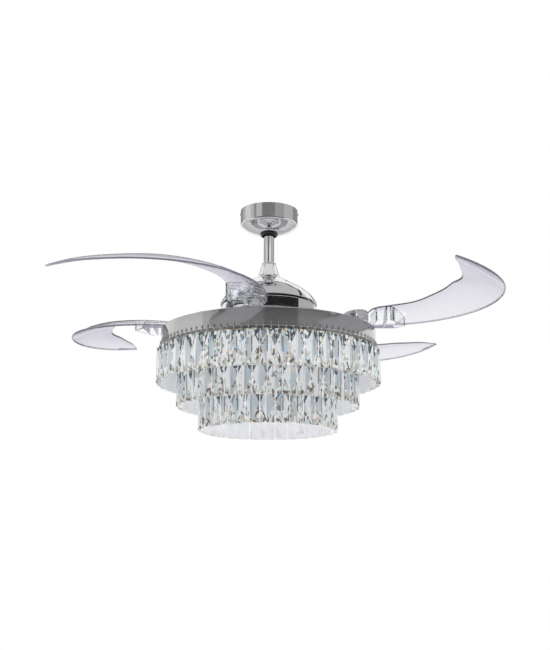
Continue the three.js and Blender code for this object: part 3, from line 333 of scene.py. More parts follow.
def finished(bm, name, sharp=38):
    """A mesh from a bmesh, its vertices joined and its round faces smooth."""
    bmesh.ops.remove_doubles(bm, verts=bm.verts, dist=1e-6)
    mesh = meshed(bm, name)
    mesh.shade_smooth()
    mesh.set_sharp_from_angle(angle=math.radians(sharp))
    return mesh


def circle(radius, count, centre=(0, 0)):
    """Points evenly round a circle."""
    angles = [2 * math.pi * i / count for i in range(count)]
    return [(centre[0] + radius * math.cos(a), centre[1] + radius * math.sin(a)) for a in angles]


def strip(bm, one, two):
    """Joins two rings of vertices with faces. A ring may be one vertex, repeated."""
    for i in range(len(one)):
        j = (i + 1) % len(one)
        distinct = list(dict.fromkeys([one[i], one[j], two[j], two[i]]))
        if len(distinct) > 2:
            bm.faces.new(distinct)


def ringed(profile, around, closed=True):
    """A skin turned about Z from a profile. A point on the axis becomes one vertex."""
    bm = bmesh.new()
    rings = []
    for radius, height in profile:
        if radius < 1e-6:
            rings.append([bm.verts.new((0, 0, height))] * around)
        else:
            rings.append([bm.verts.new((x, y, height)) for x, y in circle(radius, around)])
    for low, high in zip(rings, rings[1:] + rings[:1] if closed else rings[1:]):
        strip(bm, low, high)
    return bm


def spun(name, profile, around, closed=True):
    """A mesh turned about the fan's axis from a profile in millimetres."""
    return finished(ringed([(radius * MM, height * MM) for radius, height in profile], around, closed), name)


def coated(mesh, material):
    mesh.materials.clear()
    mesh.materials.append(material)


def fitted(mesh, name, material, body, slot, *nodes):
    """Puts a finished mesh on the fan: its material, the body that it moves with, and the CAD nodes that it
    stands for, which it hides. The slot is not used.
    """
    coated(mesh, material)
    piece = linked(name, mesh)
    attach(piece, body)
    if nodes:
        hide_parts(*nodes)
    return piece


def turned(name, profile, around, *what, closed=True):
    """A piece turned about the fan's axis, with what else fitted is told."""
    return fitted(spun(name, profile, around, closed), name, *what)


def levels(node):
    """A CAD node's lowest and highest level at rest, in millimetres."""
    low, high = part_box(node)
    return low[2] / MM, high[2] / MM


def dressed(material, *nodes):
    """Gives CAD nodes, whose shape is right as it is, their material."""
    for node in nodes:
        coated(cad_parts[node].data, material)


CANOPY_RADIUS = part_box("canopy")[1][1] / MM
CANOPY_DEPTH = -levels("canopy")[0]
CANOPY_SKIRT = 40
CANOPY_BEND = 7
CANOPY_WALL = 1.2
CANOPY_HOLE = 20.2

canopy_chrome = chrome("canopy_chrome", 0.78)
flat = CANOPY_HOLE + 4
bend_foot = (CANOPY_RADIUS - CANOPY_BEND, -CANOPY_SKIRT - 5)
edge = rounded([(CANOPY_RADIUS, 0, 0), (CANOPY_RADIUS, -CANOPY_SKIRT, 4.0), (*bend_foot, 0)], False)
dish = bulged([bend_foot, (54, -51.6), (38, -57.3), (flat, -CANOPY_DEPTH), (CANOPY_HOLE, -CANOPY_DEPTH)])
outside = edge + dish[1:]
inside = [Vector((max(CANOPY_HOLE, p.x - CANOPY_WALL * (p.x > flat)), p.y + CANOPY_WALL * (p.y < 0)))
          for p in reversed(outside)]
turned("canopy_cup", outside + inside, 144, canopy_chrome, "ceiling", "canopy_chrome", "canopy")

trim = fresh("trim_black")
trim_black = trim.skin(Base_Color=(0.012, 0.012, 0.014), Roughness=0.16 + 0.12 * trim.noise(60.0),
                       Coat_Weight=0.4)
COLLAR_BORE = 18.2
neck = CANOPY_HOLE - 0.3
rim_z = -CANOPY_DEPTH - 0.3
foot_z = levels("canopy_collar")[0]
collar_profile = rounded([
    (COLLAR_BORE, rim_z + 3, 0.3), (neck, rim_z + 3, 0.3), (neck, rim_z, 0.2), (neck + 2.4, rim_z, 0.8),
    (neck + 3.2, rim_z - 2.2, 1.0), (neck + 2.2, rim_z - 4.4, 1.2), (neck - 0.4, foot_z + 1.6, 0.6),
    (COLLAR_BORE, foot_z + 2, 0.5),
])
turned("canopy_trim", collar_profile, 144, trim_black, "ceiling", "black_trim", "canopy_collar")

# The two side screws are pan-head screws with a cross recess, turned into the bracket's ears.
SCREW_Z = sum(levels("canopy_screw_right")) / 2
SCREW_HEAD = 3.6
SCREW_HIGH = 2.6
SCREW_SHANK = 2.0
SCREW_REACH = 10.0


def pan_head(name, at_x, sideways):
    """A pan-head screw on the canopy's side, with a cross cut into its crown."""
    steps = 8
    turns = [math.pi / 2 * k / steps for k in reversed(range(steps))]
    arc = [(SCREW_HEAD * math.sin(t), SCREW_HIGH * math.cos(t)) for t in turns]
    profile = [(0.0, -SCREW_REACH), (SCREW_SHANK, -SCREW_REACH), (SCREW_SHANK, 0.0), (SCREW_HEAD, 0.0)] + arc
    bm = ringed(profile, 24, False)
    for vert in bm.verts:
        vert.co = vert.co.zxy
    for face in [f for f in bm.faces if f.calc_center_median().x > SCREW_HIGH * 0.86]:
        centre = face.calc_center_median()
        if min(abs(centre.y), abs(centre.z)) < 0.5:
            for vert in face.verts:
                if vert.co.x > SCREW_HIGH * 0.9:
                    vert.co.x -= 0.9
    bmesh.ops.transform(bm, matrix=Matrix.Scale(MM, 4), verts=bm.verts)
    turn = Matrix.Rotation(math.pi if sideways < 0 else 0, 4, "Z")
    bmesh.ops.transform(bm, matrix=Matrix.Translation((at_x, 0, SCREW_Z * MM)) @ turn, verts=bm.verts)
    return finished(bm, name)


screw_chrome = chrome("screw_chrome", 0.72, 0.12)
for side, word in ((1, "right"), (-1, "left")):
    head = pan_head(f"side_screw_{word}", side * (CANOPY_RADIUS + 0.3) * MM, side)
    fitted(head, f"side_screw_{word}", screw_chrome, "ceiling", "screw_chrome", f"canopy_screw_{word}")


# ---------------------------------------- inside the canopy: hanger
# A zinc-plated bracket on the ceiling box holds a moulded ball in its seat. The receiver and the mains
# terminals are clipped under its plate.
def plated(name, shade, tint, dullness):
    """Zinc plate: a faintly crystalline, slightly dull metal."""
    paint = fresh(name)
    cells = paint.node("TexVoronoi", inputs={"Vector": paint.place(), "Scale": 160.0}, output="Distance")
    tone = paint.blend(cells, tuple(shade * c for c in tint), tuple(shade * 1.15 * c for c in tint))
    return paint.skin(Base_Color=tone, Metallic=1.0, Roughness=dullness + 0.18 * cells)


def moulded(name, colour, dullness, grain=900.0, depth=0.00008):
    """Moulded plastic with a fine spark-eroded grain."""
    paint = fresh(name)
    fine = paint.noise(grain)
    cloud = paint.noise(14.0)
    tone = paint.blend(cloud, tuple(c * 0.93 for c in colour), colour)
    return paint.skin(Base_Color=tone, Roughness=dullness + 0.1 * fine, Normal=paint.bump(fine, 0.35, depth))


zinc = plated("zinc_plate", 0.56, (1.0, 1.01, 1.03), 0.26)
dressed(zinc, "hanger_bracket", "ball_pin", "clevis_pin", "motor_shaft", "pan_nut_upper", "pan_nut_lower",
        "upper_bearing", "lower_bearing")
dressed(moulded("ball_nylon", (0.03, 0.03, 0.032), 0.42), "hanger_ball")
dressed(moulded("receiver_case", (0.035, 0.035, 0.038), 0.5), "receiver")
nylon = moulded("natural_nylon", (0.82, 0.80, 0.73), 0.42)
dressed(nylon, "terminal_block")


# --------------------------------------- the rod and its two covers
# A chrome tube hangs the motor. A chrome bell hides the coupling at its foot, and a spun chrome dome
# covers the motor. The coupling itself is a grey casting inside the bell.
def sleeve(radius, wall, foot, top, inner, outer):
    """The profile of a straight tube or hoop, with its inner and outer corners' fillets."""
    bore = radius - wall
    return rounded([(bore, foot, inner), (radius, foot, outer), (radius, top, outer), (bore, top, inner)])


ROD_RADIUS = 13.0
ROD_WALL = 2.5
tube = sleeve(ROD_RADIUS, ROD_WALL, *levels("downrod"), 0.3, 0.5)
rod_chrome = chrome("rod_chrome", 0.80, 0.04, 0.03)
turned("rod", tube, 96, rod_chrome, "stem", "rod_chrome", "downrod")


def grained(name, first, second, noise, dullness, relief=None, **rest):
    """A material that one noise tints, dulls and dents. The noise is (scale, stretch, detail)."""
    paint = fresh(name)
    grain = paint.noise(*noise)
    if relief:
        rest["Normal"] = paint.bump(grain, *relief)
    tone = paint.blend(grain, first, second)
    return paint.skin(Base_Color=tone, Roughness=dullness[0] + dullness[1] * grain, **rest)


dressed(grained("coupling_casting", (0.16, 0.165, 0.17), (0.26, 0.265, 0.27), (300.0, (1, 1, 1), 4.0),
                (0.55, 0.2), (0.5, 0.0003), Metallic=0.9), "coupling")

bell_foot, bell_top = levels("coupling_cover")
BELL_HEIGHT = bell_top - bell_foot
BELL_WALL = 1.2
BELL_RIM = 32.0
BELL_BORE = ROD_RADIUS + 0.3
shoulder = ROD_RADIUS + 4.6
# The bell's curve, as radii and shares of the way down to its rim.
BELL_CURVE = [(20.6, 0.33), (24.6, 0.66), (27.4, 0.86)]
flare = [(radius, bell_top - down * BELL_HEIGHT) for radius, down in BELL_CURVE]
outside = bulged([(shoulder, bell_top - 5), *flare, (BELL_RIM, bell_foot)])
inside = [Vector((p.x - BELL_WALL, p.y)) for p in reversed(outside)]
crown = rounded([(BELL_BORE, bell_top - 5, 0), (BELL_BORE, bell_top, 0.4), (shoulder - 0.3, bell_top, 3.2),
                 (shoulder, bell_top - 5.2, 0)], False)
bell_chrome = chrome("bell_chrome", 0.80, 0.04, 0.03)
turned("bell", crown + outside + inside, 128, bell_chrome, "stem", "cover_chrome", "coupling_cover")

DOME_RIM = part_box("dome")[1][1] / MM
DOME_WALL = 1.4
DOME_HOLE = 20.0
DOME_DROP = 66.0
DOME_CROWN = 30.0
DOME_HEM = 4
DOME_LIP = 1.2
# The dome's curve, as shares of the way out to its rim and down to it.
DOME_CURVE = [(0, 0), (0.12, 0.035), (0.295, 0.188), (0.42, 0.278), (0.547, 0.379), (0.66, 0.482),
              (0.766, 0.598), (0.85, 0.705), (0.908, 0.811), (0.965, 0.92), (1, 1)]
dome_top = levels("dome")[1]
hem_z = dome_top - DOME_DROP
outside = bulged([(DOME_CROWN + out * (DOME_RIM - DOME_CROWN), dome_top - 0.2 - down * (DOME_DROP - 0.2))
                  for out, down in DOME_CURVE], 4)
rim = rounded([(DOME_RIM, hem_z, 0), (DOME_RIM - 0.2, hem_z - DOME_LIP, 0.6),
               (DOME_RIM - DOME_HEM, hem_z - DOME_LIP, 0.5), (DOME_RIM - DOME_HEM, hem_z, 0)], False)
lining = [Vector((p.x - DOME_WALL * 0.7, p.y - DOME_WALL)) for p in reversed(outside)
          if p.x < DOME_RIM - DOME_HEM - 0.2]
hole = [Vector((DOME_HOLE, dome_top)), Vector((DOME_HOLE, dome_top - DOME_WALL))]
profile = [hole[0], *outside, *rim[1:], *lining, hole[1]]
dome_chrome = chrome("dome_chrome", 0.80, 0.04, 0.03)
turned("motor_dome", profile, 160, dome_chrome, "stem", "dome_chrome", "dome")

# -------------------------------------------------------- the motor
# An outer-rotor motor: a wound stator on the hollow shaft, and a bright housing that spins round it with
# its ring of magnets. The housing is spun in two halves that meet at a thin seam.
lamination = fresh("laminations")
sheets = lamination.node("TexWave", {"bands_direction": "Z"}, {"Vector": lamination.place(), "Scale": 320.0})
dressed(lamination.skin(Base_Color=lamination.blend(sheets, (0.16, 0.17, 0.19), (0.34, 0.35, 0.38)),
                        Metallic=0.9, Roughness=0.42), "stator_core")
winding = fresh("enamelled_copper")
turns = winding.node("TexWave", {"wave_type": "RINGS", "rings_direction": "Z"},
                     {"Vector": winding.place(), "Scale": 260.0})
copper = winding.skin(Base_Color=winding.blend(turns, (0.30, 0.11, 0.04), (0.62, 0.28, 0.12)), Metallic=0.9,
                      Roughness=0.3, Normal=winding.bump(turns, 0.6, 0.0004))
dressed(copper, "upper_winding", "lower_winding")
dressed(moulded("bonded_magnet", (0.05, 0.05, 0.055), 0.55), "magnet_ring")

HOUSING_RADIUS = 116.0
HOUSING_WALL = 3.0
HOUSING_BORE = HOUSING_RADIUS - HOUSING_WALL
housing_chrome = chrome("housing_chrome", 0.78, 0.04, 0.04)
# Each half: its name, bore, outer and seam levels, outer and inner fillets, which way is inwards, its node.
seam_top, top_z = levels("rotor_housing_upper")
bottom_z, seam_low = levels("rotor_housing_lower")
for half, hub, end, seam, bend, inner_bend, inwards, node in (
    ("housing_top", 12, top_z, seam_top, 2.5, 1.5, -1, "rotor_housing_upper"),
    ("housing_bottom", 11.5, bottom_z, seam_low, 10, 8, 1, "rotor_housing_lower"),
):
    floor_z = end + inwards * HOUSING_WALL
    pan = rounded([(hub, end, 0.3), (HOUSING_RADIUS, end, bend), (HOUSING_RADIUS, seam, 0.8),
                   (HOUSING_BORE, seam, 0.2), (HOUSING_BORE, floor_z, inner_bend), (hub, floor_z, 0.3)])
    turned(half, pan, 160, housing_chrome, "rotor", "housing_chrome", node)

# ---------------------------------- the blade carrier and its gears
# A pressed aluminium plate under the motor with a boss for each blade's pivot. Moulded hubs on the pivots
# mesh with one toothed ring, so the blades swing together, and a steel coil at each folds them again.
BLADES = (1, 2, 3, 4)
carrier_metal = grained("carrier_aluminium", (0.56, 0.57, 0.59), (0.68, 0.69, 0.70), (90.0, (1, 14, 1), 3.0),
                        (0.3, 0.15), Metallic=1.0)
dressed(carrier_metal, "blade_carrier", "lamp_plate")
dressed(nylon, "sync_ring", *(f"blade_hub_{n}" for n in BLADES))
coil = fresh("spring_steel")
coil_steel = coil.skin(Base_Color=(0.22, 0.23, 0.25), Metallic=1.0, Roughness=0.3 + 0.15 * coil.noise(200.0))
dressed(coil_steel, *(f"torsion_spring_{n}" for n in BLADES))

# ------------------------------------------------------- the blades
# Each blade is one clear moulding: a thin arched sheet with a beaded edge, which thickens into a ribbed
# neck and a round head on the pivot. It is drawn folded round the fan, then swung out about its pivot.
PIVOT_RADIUS = 216.4
PIVOT_AZIMUTH = -12.3
SWING = 122
TIP_END = 174.6
HEAD_RADIUS = 33
BLADE_OUTER = PIVOT_RADIUS + HEAD_RADIUS + 0.6
CARRIER_TOP = -311.97
BASE_Z = CARRIER_TOP + 6.5
EDGE_Z = CARRIER_TOP + 10
SHEET = 3.6
BEAD = 2.5
# The sheet's width in from the fan's outer edge, as (degrees from its pivot, millimetres).
WIDTHS = [(-12, 78), (5, 84), (24, 93), (45, 98), (66, 109), (88, 113), (103, 112.5), (112, 106), (122, 97.5),
          (147, 79), (160, 56), (167, 39), (173, 19), (178, 4)]
TIP_ROUNDS_FROM = 167


def out_along(radius, degrees):
    """A point at a radius from the fan's axis, in a direction counted from +X."""
    angle = math.radians(degrees)
    return Vector((radius * math.cos(angle), radius * math.sin(angle), 0))


pivot = out_along(PIVOT_RADIUS, PIVOT_AZIMUTH)


def blade_width(degrees):
    """The sheet's width at an angle from its pivot: a smooth curve through WIDTHS, rounded off at the tip."""
    tip = max(0.0, (degrees - TIP_ROUNDS_FROM) / (TIP_END - TIP_ROUNDS_FROM))
    last = len(WIDTHS) - 2
    i = next((k for k in range(len(WIDTHS)) if WIDTHS[k][0] > degrees), len(WIDTHS)) - 1
    i = min(last, max(0, i))

    def slope(k):
        before, after = WIDTHS[max(0, k - 1)], WIDTHS[min(len(WIDTHS) - 1, k + 1)]
        return (after[1] - before[1]) / (after[0] - before[0])

    (a0, w0), (a1, w1) = WIDTHS[i], WIDTHS[i + 1]
    span = a1 - a0
    t = (degrees - a0) / span
    width = ((2 * t ** 3 - 3 * t ** 2 + 1) * w0 + (t ** 3 - 2 * t ** 2 + t) * span * slope(i)
             + (3 * t ** 2 - 2 * t ** 3) * w1 + (t ** 3 - t ** 2) * span * slope(i + 1))
    return width * math.sqrt(max(0.0, 1 - tip * tip))


def blade_height(degrees, radius):
    """The sheet's middle surface: it climbs round the fan, slopes up inwards and is arched."""
    width = blade_width(degrees)
    across = (BLADE_OUTER - radius) / width
    lift = max(0, (degrees - 120) / 60) ** 2 * 18
    arch = 0.3 * width * across * (1 - across)
    return EDGE_Z + 0.15 * degrees + lift + 0.31 * (BLADE_OUTER - radius) + arch


def folded_point(degrees, radius, z):
    """A point of the folded blade, by its angle back from the pivot."""
    return out_along(radius, PIVOT_AZIMUTH - degrees) + Vector((0, 0, z))


def blade_section(degrees):
    """The closed outline of the sheet at an angle: flat sides, a round inner edge and a beaded outer one."""
    width = blade_width(degrees)
    columns = 14
    half, bead = min(SHEET, width * 0.5) / 2, min(BEAD, width * 0.3)
    inner, outer = BLADE_OUTER - width + half, BLADE_OUTER - bead

    def thick(radius):
        near = max(0.0, 1 - (outer - radius) / 9)
        return half + (bead - half) * near * near

    radii = [inner + (outer - inner) * i / columns for i in range(columns + 1)]
    loop = [(r, blade_height(degrees, r) + thick(r)) for r in radii]
    for k in range(1, 6):
        a = math.pi / 2 - math.pi * k / 6
        loop.append((outer + bead * math.cos(a), blade_height(degrees, outer) + bead * math.sin(a)))
    loop += [(r, blade_height(degrees, r) - thick(r)) for r in reversed(radii)]
    for k in range(1, 6):
        a = -math.pi / 2 - math.pi * k / 6
        loop.append((inner + half * math.cos(a), blade_height(degrees, inner) + half * math.sin(a)))
    return [folded_point(degrees, r, z) for r, z in loop]


def lofted(sections):
    """A closed skin through sections that have as many points each."""
    bm = bmesh.new()
    loops = [[bm.verts.new(p) for p in section] for section in sections]
    for one, two in zip(loops, loops[1:]):
        strip(bm, one, two)
    bm.faces.new(loops[0][::-1])
    bm.faces.new(loops[-1])
    return bm


def scratch(bm, name):
    """A working object from a bmesh in millimetres, used up by the cuts that follow."""
    return linked(name, meshed(bm, name))


def result_of(thing):
    """The mesh that an object's modifiers make."""
    bpy.context.view_layer.update()
    return bpy.data.meshes.new_from_object(thing.evaluated_get(bpy.context.evaluated_depsgraph_get()))


def worked(thing, operation, tool):
    """Cuts, joins or trims one working object with another, which is then gone."""
    change = thing.modifiers.new(operation, "BOOLEAN")
    change.operation = operation
    change.solver = "EXACT"
    change.object = tool
    result = result_of(thing)
    thing.modifiers.clear()
    thing.data = result
    bpy.data.objects.remove(tool)
    return thing


def prism(outline, low, high, name):
    """A straight-sided block over an outline."""
    return scratch(lofted([[(x, y, z) for x, y in outline] for z in (low, high)]), name)


def round_block(centre, radius, low, high, name, around=48):
    return prism(circle(radius, around, centre), low, high, name)


def under_sheet(low, name):
    """Everything under the middle surface of the sheet's root, down to a level."""
    bm = bmesh.new()
    angles = [-12 + 60 * i / 40 for i in range(41)]
    columns = 14
    upper, lower = [], []
    for grid, level in ((upper, blade_height), (lower, lambda degrees, radius: low)):
        for degrees in angles:
            spread = blade_width(degrees) + 14
            radii = [BLADE_OUTER + 1 - spread * j / columns for j in range(columns + 1)]
            grid.append([bm.verts.new(folded_point(degrees, r, level(degrees, r))) for r in radii])
    rows = len(angles)
    for i in range(rows - 1):
        for j in range(columns):
            bm.faces.new([upper[i][j], upper[i + 1][j], upper[i + 1][j + 1], upper[i][j + 1]])
            bm.faces.new([lower[i][j], lower[i][j + 1], lower[i + 1][j + 1], lower[i + 1][j]])
        for j in (0, columns):
            bm.faces.new([upper[i][j], lower[i][j], lower[i + 1][j], upper[i + 1][j]])
    for i in (0, rows - 1):
        for j in range(columns):
            bm.faces.new([upper[i][j], upper[i][j + 1], lower[i][j + 1], lower[i][j]])
    return scratch(bm, name)


def neck_outline(shrink):
    """The plan of the head and neck, drawn in by shrink."""
    inset = shrink + 0.5
    points = []
    for i in range(37):
        a = math.radians(PIVOT_AZIMUTH - 35 + 270 * i / 36)
        reach = HEAD_RADIUS - shrink
        points.append((pivot.x + reach * math.cos(a), pivot.y + reach * math.sin(a)))
    rest = [(9, BLADE_OUTER - blade_width(9) + inset + 14), (13, BLADE_OUTER - blade_width(13) + inset)]
    rest += [(d, BLADE_OUTER - blade_width(d) + inset) for d in (16, 20, 24 - shrink / 4)]
    rest += [(33 - shrink / 3, BLADE_OUTER - 26 - shrink), (27 - shrink / 3, BLADE_OUTER - inset)]
    rest += [(d, BLADE_OUTER - inset) for d in (24, 20, 17, 14)]
    return points + [folded_point(d, r, 0)[:2] for d, r in rest]


WALL = 3.0
RIBS = (12, 20, 26)
RIB_REACH = 62
SHEET_FROM, SHEET_TO, ROOT_TO = -10.6, 174.55, 13
ABOVE, BELOW = BASE_Z + 60, BASE_Z - 6
stations = [SHEET_FROM + (SHEET_TO - SHEET_FROM) * (1 - (1 - i / 170) ** 1.25) for i in range(171)]
sheet = scratch(lofted([blade_section(d) for d in stations]), "sheet")
zone = prism([(0, 0)] + [folded_point(ROOT_TO - k * 6, 300, 0)[:2] for k in range(8)], BELOW, ABOVE, "zone")
zone = worked(zone, "DIFFERENCE", prism(neck_outline(0), BELOW - 1, ABOVE + 1, "neck"))
sheet = worked(sheet, "DIFFERENCE", zone)
root = prism(neck_outline(0), BASE_Z, ABOVE, "root")
root = worked(root, "INTERSECT", under_sheet(BELOW, "under_sheet"))
pocket = prism(neck_outline(WALL), BELOW, ABOVE + 1, "pocket")
pocket = worked(pocket, "DIFFERENCE", round_block(pivot, HEAD_RADIUS + 0.2, BELOW - 1, ABOVE + 2, "head"))
for degrees in RIBS:
    middle = folded_point(degrees, PIVOT_RADIUS, 0)
    slab = [(x * RIB_REACH, y * WALL / 2) for x, y in ((-1, -1), (1, -1), (1, 1), (-1, 1))]
    rib = prism(slab, BELOW - 1, ABOVE + 2, "rib")
    aim = Matrix.Rotation(math.radians(PIVOT_AZIMUTH - degrees), 4, "Z")
    rib.data.transform(Matrix.Translation(middle) @ aim)
    pocket = worked(pocket, "DIFFERENCE", rib)
root = worked(root, "DIFFERENCE", pocket)
moulding = worked(sheet, "UNION", root)

# Swung out, the moulding gets its bores: the bolt's seat, the hub's socket, and the ear that holds the stop.
swing = Matrix.Translation(pivot) @ Matrix.Rotation(math.radians(SWING), 4, "Z") @ Matrix.Translation(-pivot)
moulding.data.transform(swing)
BUMPER_REACH = 42.5
BUMPER_BEARING = -100
EAR_TOP = CARRIER_TOP + 20
EAR_LOW = EAR_TOP - 3.6
EAR_HALF = 6.5
EAR_FROM = 26
stop = pivot + out_along(BUMPER_REACH, BUMPER_BEARING)
nose = [math.pi * k / 8 - math.pi / 2 for k in range(1, 8)]
ear_outline = [(EAR_FROM, -EAR_HALF), (BUMPER_REACH, -EAR_HALF),
               *((BUMPER_REACH + EAR_HALF * math.cos(a), EAR_HALF * math.sin(a)) for a in nose),
               (BUMPER_REACH, EAR_HALF), (EAR_FROM, EAR_HALF)]
ear = prism(ear_outline, EAR_LOW, EAR_TOP, "ear")
ear.data.transform(Matrix.Translation(pivot) @ Matrix.Rotation(math.radians(BUMPER_BEARING), 4, "Z"))
moulding = worked(moulding, "UNION", ear)
HUB_TOP = CARRIER_TOP + 10.7
for centre, radius, low, high in (
    (stop, 4.4, EAR_LOW - 1, EAR_TOP + 1),
    (pivot, 7.6, HUB_TOP + 3.8, 1),
    (pivot, 4.4, BASE_Z - 2, 0.5),
    (pivot, 11.5, BASE_Z - 1, HUB_TOP + 0.3),
):
    moulding = worked(moulding, "DIFFERENCE", round_block(centre, radius, low, high, "bore", 32))


def clear_plastic(name, face_on, edge_on, clear, ripple, bend):
    """Water-clear moulding, a little violet where one looks along it, with flow marks and rub marks."""
    paint = fresh(name)
    along = paint.node("LayerWeight", inputs={"Blend": 0.45}, output="Facing")
    flow = paint.noise(22.0, detail=3.0)
    rub = paint.noise(260.0)
    tone = paint.blend(along * along * (0.85 + 0.3 * flow), face_on, edge_on)
    relief = paint.bump(paint.noise(ripple[0]), ripple[1], 0.0015)
    return paint.skin(Base_Color=tone, Roughness=0.02 + 0.02 * rub, Transmission_Weight=clear, IOR=bend,
                      Normal=relief)


blade_clear = clear_plastic("blade_clear", (0.90, 0.895, 0.915), (0.34, 0.32, 0.50), 1.0, (9.0, 0.05), 1.12)
# The edge finish: the deeper violet seen along the plastic, made darker with painted shade for the thin dark
# line at the edges.
blade_edge_tint_and_shade = clear_plastic("blade_edge_tint_and_shade", (0.62, 0.60, 0.71), (0.24, 0.23, 0.32), 0.6, (9.0, 0.05), 1.3)
blade_root = clear_plastic("blade_root", (0.97, 0.975, 0.99), (0.80, 0.81, 0.88), 1.0, (110.0, 0.7), 1.22)
swung_centre = swing @ Vector((0, 0, 0))
ROOT_REACH = 125
ROOT_HIGH = EDGE_Z + 26
BEAD_FROM = BLADE_OUTER - 1.7 * BEAD


def sort_faces(mesh):
    """Gives the sheet's edges, where one looks along it, a darker finish with painted shade, and the block of
    its root its own finish.
    """
    for face in mesh.polygons:
        away = (face.center - pivot * MM).xy.length
        bead = (face.center - swung_centre * MM).xy.length > BEAD_FROM * MM
        if away < ROOT_REACH * MM and face.center.z < ROOT_HIGH * MM and not bead:
            face.material_index = 2
        elif bead or abs(face.normal.z) < 0.5:
            face.material_index = 1


def quarter(number):
    """The turn from where the second blade is to where another one is."""
    return Matrix.Rotation(math.radians((number - 2) * 90), 4, "Z")


bm = bmesh.new()
bm.from_mesh(moulding.data)
bmesh.ops.transform(bm, matrix=Matrix.Scale(MM, 4), verts=bm.verts)
blade_mesh = finished(bm, "blade_moulding", 44)
bpy.data.objects.remove(moulding)

for number in BLADES:
    name = f"blade_moulding_{number}"
    mesh = blade_mesh.copy()
    mesh.name = name
    fitted(mesh, name, blade_clear, f"blade_{number}", "clear_blade", f"blade_{number}")
    mesh.materials.append(blade_edge_tint_and_shade)
    mesh.materials.append(blade_root)
    sort_faces(mesh)
    mesh.transform(quarter(number))

# Pivot bolts and rubber stops: a socket-head bolt clamps each head to its hub, and the grey rubber stop
# beside it meets the carrier's lugs at both ends of the swing.
dressed(zinc, *(f"pivot_bolt_{n}" for n in BLADES))
rubber_grey = grained("stop_rubber", (0.16, 0.165, 0.15), (0.25, 0.26, 0.235), (70.0, (1, 1, 1), 3.0),
                      (0.32, 0.2), (0.2, 0.0003))
STOP_RADIUS = 8
STOP_WAIST = 4
stop_low, stop_high = CARRIER_TOP + 0.8, CARRIER_TOP + 24
knob = rounded([
    (0, stop_high, 0), (STOP_RADIUS, stop_high, 3.4), (STOP_RADIUS, EAR_TOP + 0.3, 0.5),
    (STOP_WAIST, EAR_TOP + 0.3, 0.2), (STOP_WAIST, EAR_LOW - 0.3, 0.2), (STOP_RADIUS, EAR_LOW - 0.3, 0.6),
    (STOP_RADIUS, stop_low, 1.6), (0, stop_low, 0),
], False)
for number in BLADES:
    mesh = spun(f"stop_{number}", knob, 40, closed=False)
    mesh.transform(quarter(number) @ Matrix.Translation(stop * MM))
    fitted(mesh, f"stop_{number}", rubber_grey, f"blade_{number}", "rubber", f"stop_bumper_{number}")

# ------------------------------------------------ the band and tray
# A rolled band of polished steel hides the folded blades' edge and carries the outer drops. Behind it is a
# steel tray, dark grey all over as painted shade for the dark gap under the band. Two lower rails hang from
# the tray on four stepped straps.
BAND_RADIUS = 265.4
BAND_SHEET = 1.5
band_steel = grained("band_steel", (0.50, 0.50, 0.495), (0.56, 0.56, 0.555), (30.0, (1, 1, 60), 3.0),
                     (0.05, 0.05), (0.05, 0.0003), Metallic=1.0)
hoop = sleeve(BAND_RADIUS, BAND_SHEET, *levels("band"), 0.6, 0.7)
turned("band_hoop", hoop, 200, band_steel, "stem", "band_steel", "band")

coat = fresh("white_coat")
peel = coat.noise(520.0)
coat_tone = coat.blend(coat.noise(8.0), (0.84, 0.84, 0.83), (0.88, 0.88, 0.87))
white_coat = coat.skin(Base_Color=coat_tone, Roughness=0.3 + 0.1 * peel, Normal=coat.bump(peel, 0.2, 0.0002))
PAN_RADIUS = 263.4
PAN_SHEET = 1.5
PAN_HOLE = 8.8
pan_bore = PAN_RADIUS - PAN_SHEET
pan_foot, pan_top = levels("light_pan")
tray = rounded([(PAN_HOLE, pan_top, 0.2), (PAN_RADIUS, pan_top, 1.4), (PAN_RADIUS, pan_foot, 0.3),
                (pan_bore, pan_foot, 0.3), (pan_bore, pan_top - PAN_SHEET, 0.4),
                (PAN_HOLE, pan_top - PAN_SHEET, 0.2)])
# Painted shade: the tray's dark grey stands in for the shadow in the gap under the band.
tray_shade_grey = grained("tray_painted_shade", (0.20, 0.20, 0.20), (0.27, 0.27, 0.265), (40.0, (1, 1, 40), 3.0), (0.3, 0.2),
                    Metallic=0.5)
turned("tray", tray, 200, tray_shade_grey, "stem", "white_steel", "light_pan")
dressed(white_coat, "rail_frame")

rail_chrome = chrome("rail_chrome", 0.76, 0.08)
TIER_RADII = {"outer": 275.0, "middle": 224.0, "inner": 170.0}
OVERHANG = TIER_RADII["outer"] - BAND_RADIUS
for tier in ("middle", "inner"):
    radius = TIER_RADII[tier] - OVERHANG
    hoop = sleeve(radius, BAND_SHEET, *levels(f"{tier}_rail"), 0.5, 0.6)
    turned(f"{tier}_hoop", hoop, 180, rail_chrome, "stem", "rail_chrome", f"{tier}_rail")

# --------------------------------------------------------- the lamp
# An LED board on an aluminium plate, three posts under the tray, with its driver beside them and an opal
# diffuser bowl below.
dressed(moulded("driver_case", (0.80, 0.80, 0.79), 0.45), "led_driver")
dressed(moulded("solder_mask", (0.85, 0.85, 0.83), 0.35), "led_board")
opal_bowl = grained("opal", (0.90, 0.90, 0.91), (0.95, 0.95, 0.96), (30.0,), (0.22, 0.05),
                    Emission_Color=(1.0, 0.99, 0.97), Emission_Strength=0.35)
BOWL_RADIUS = 116.0
BOWL_WALL = 2.5
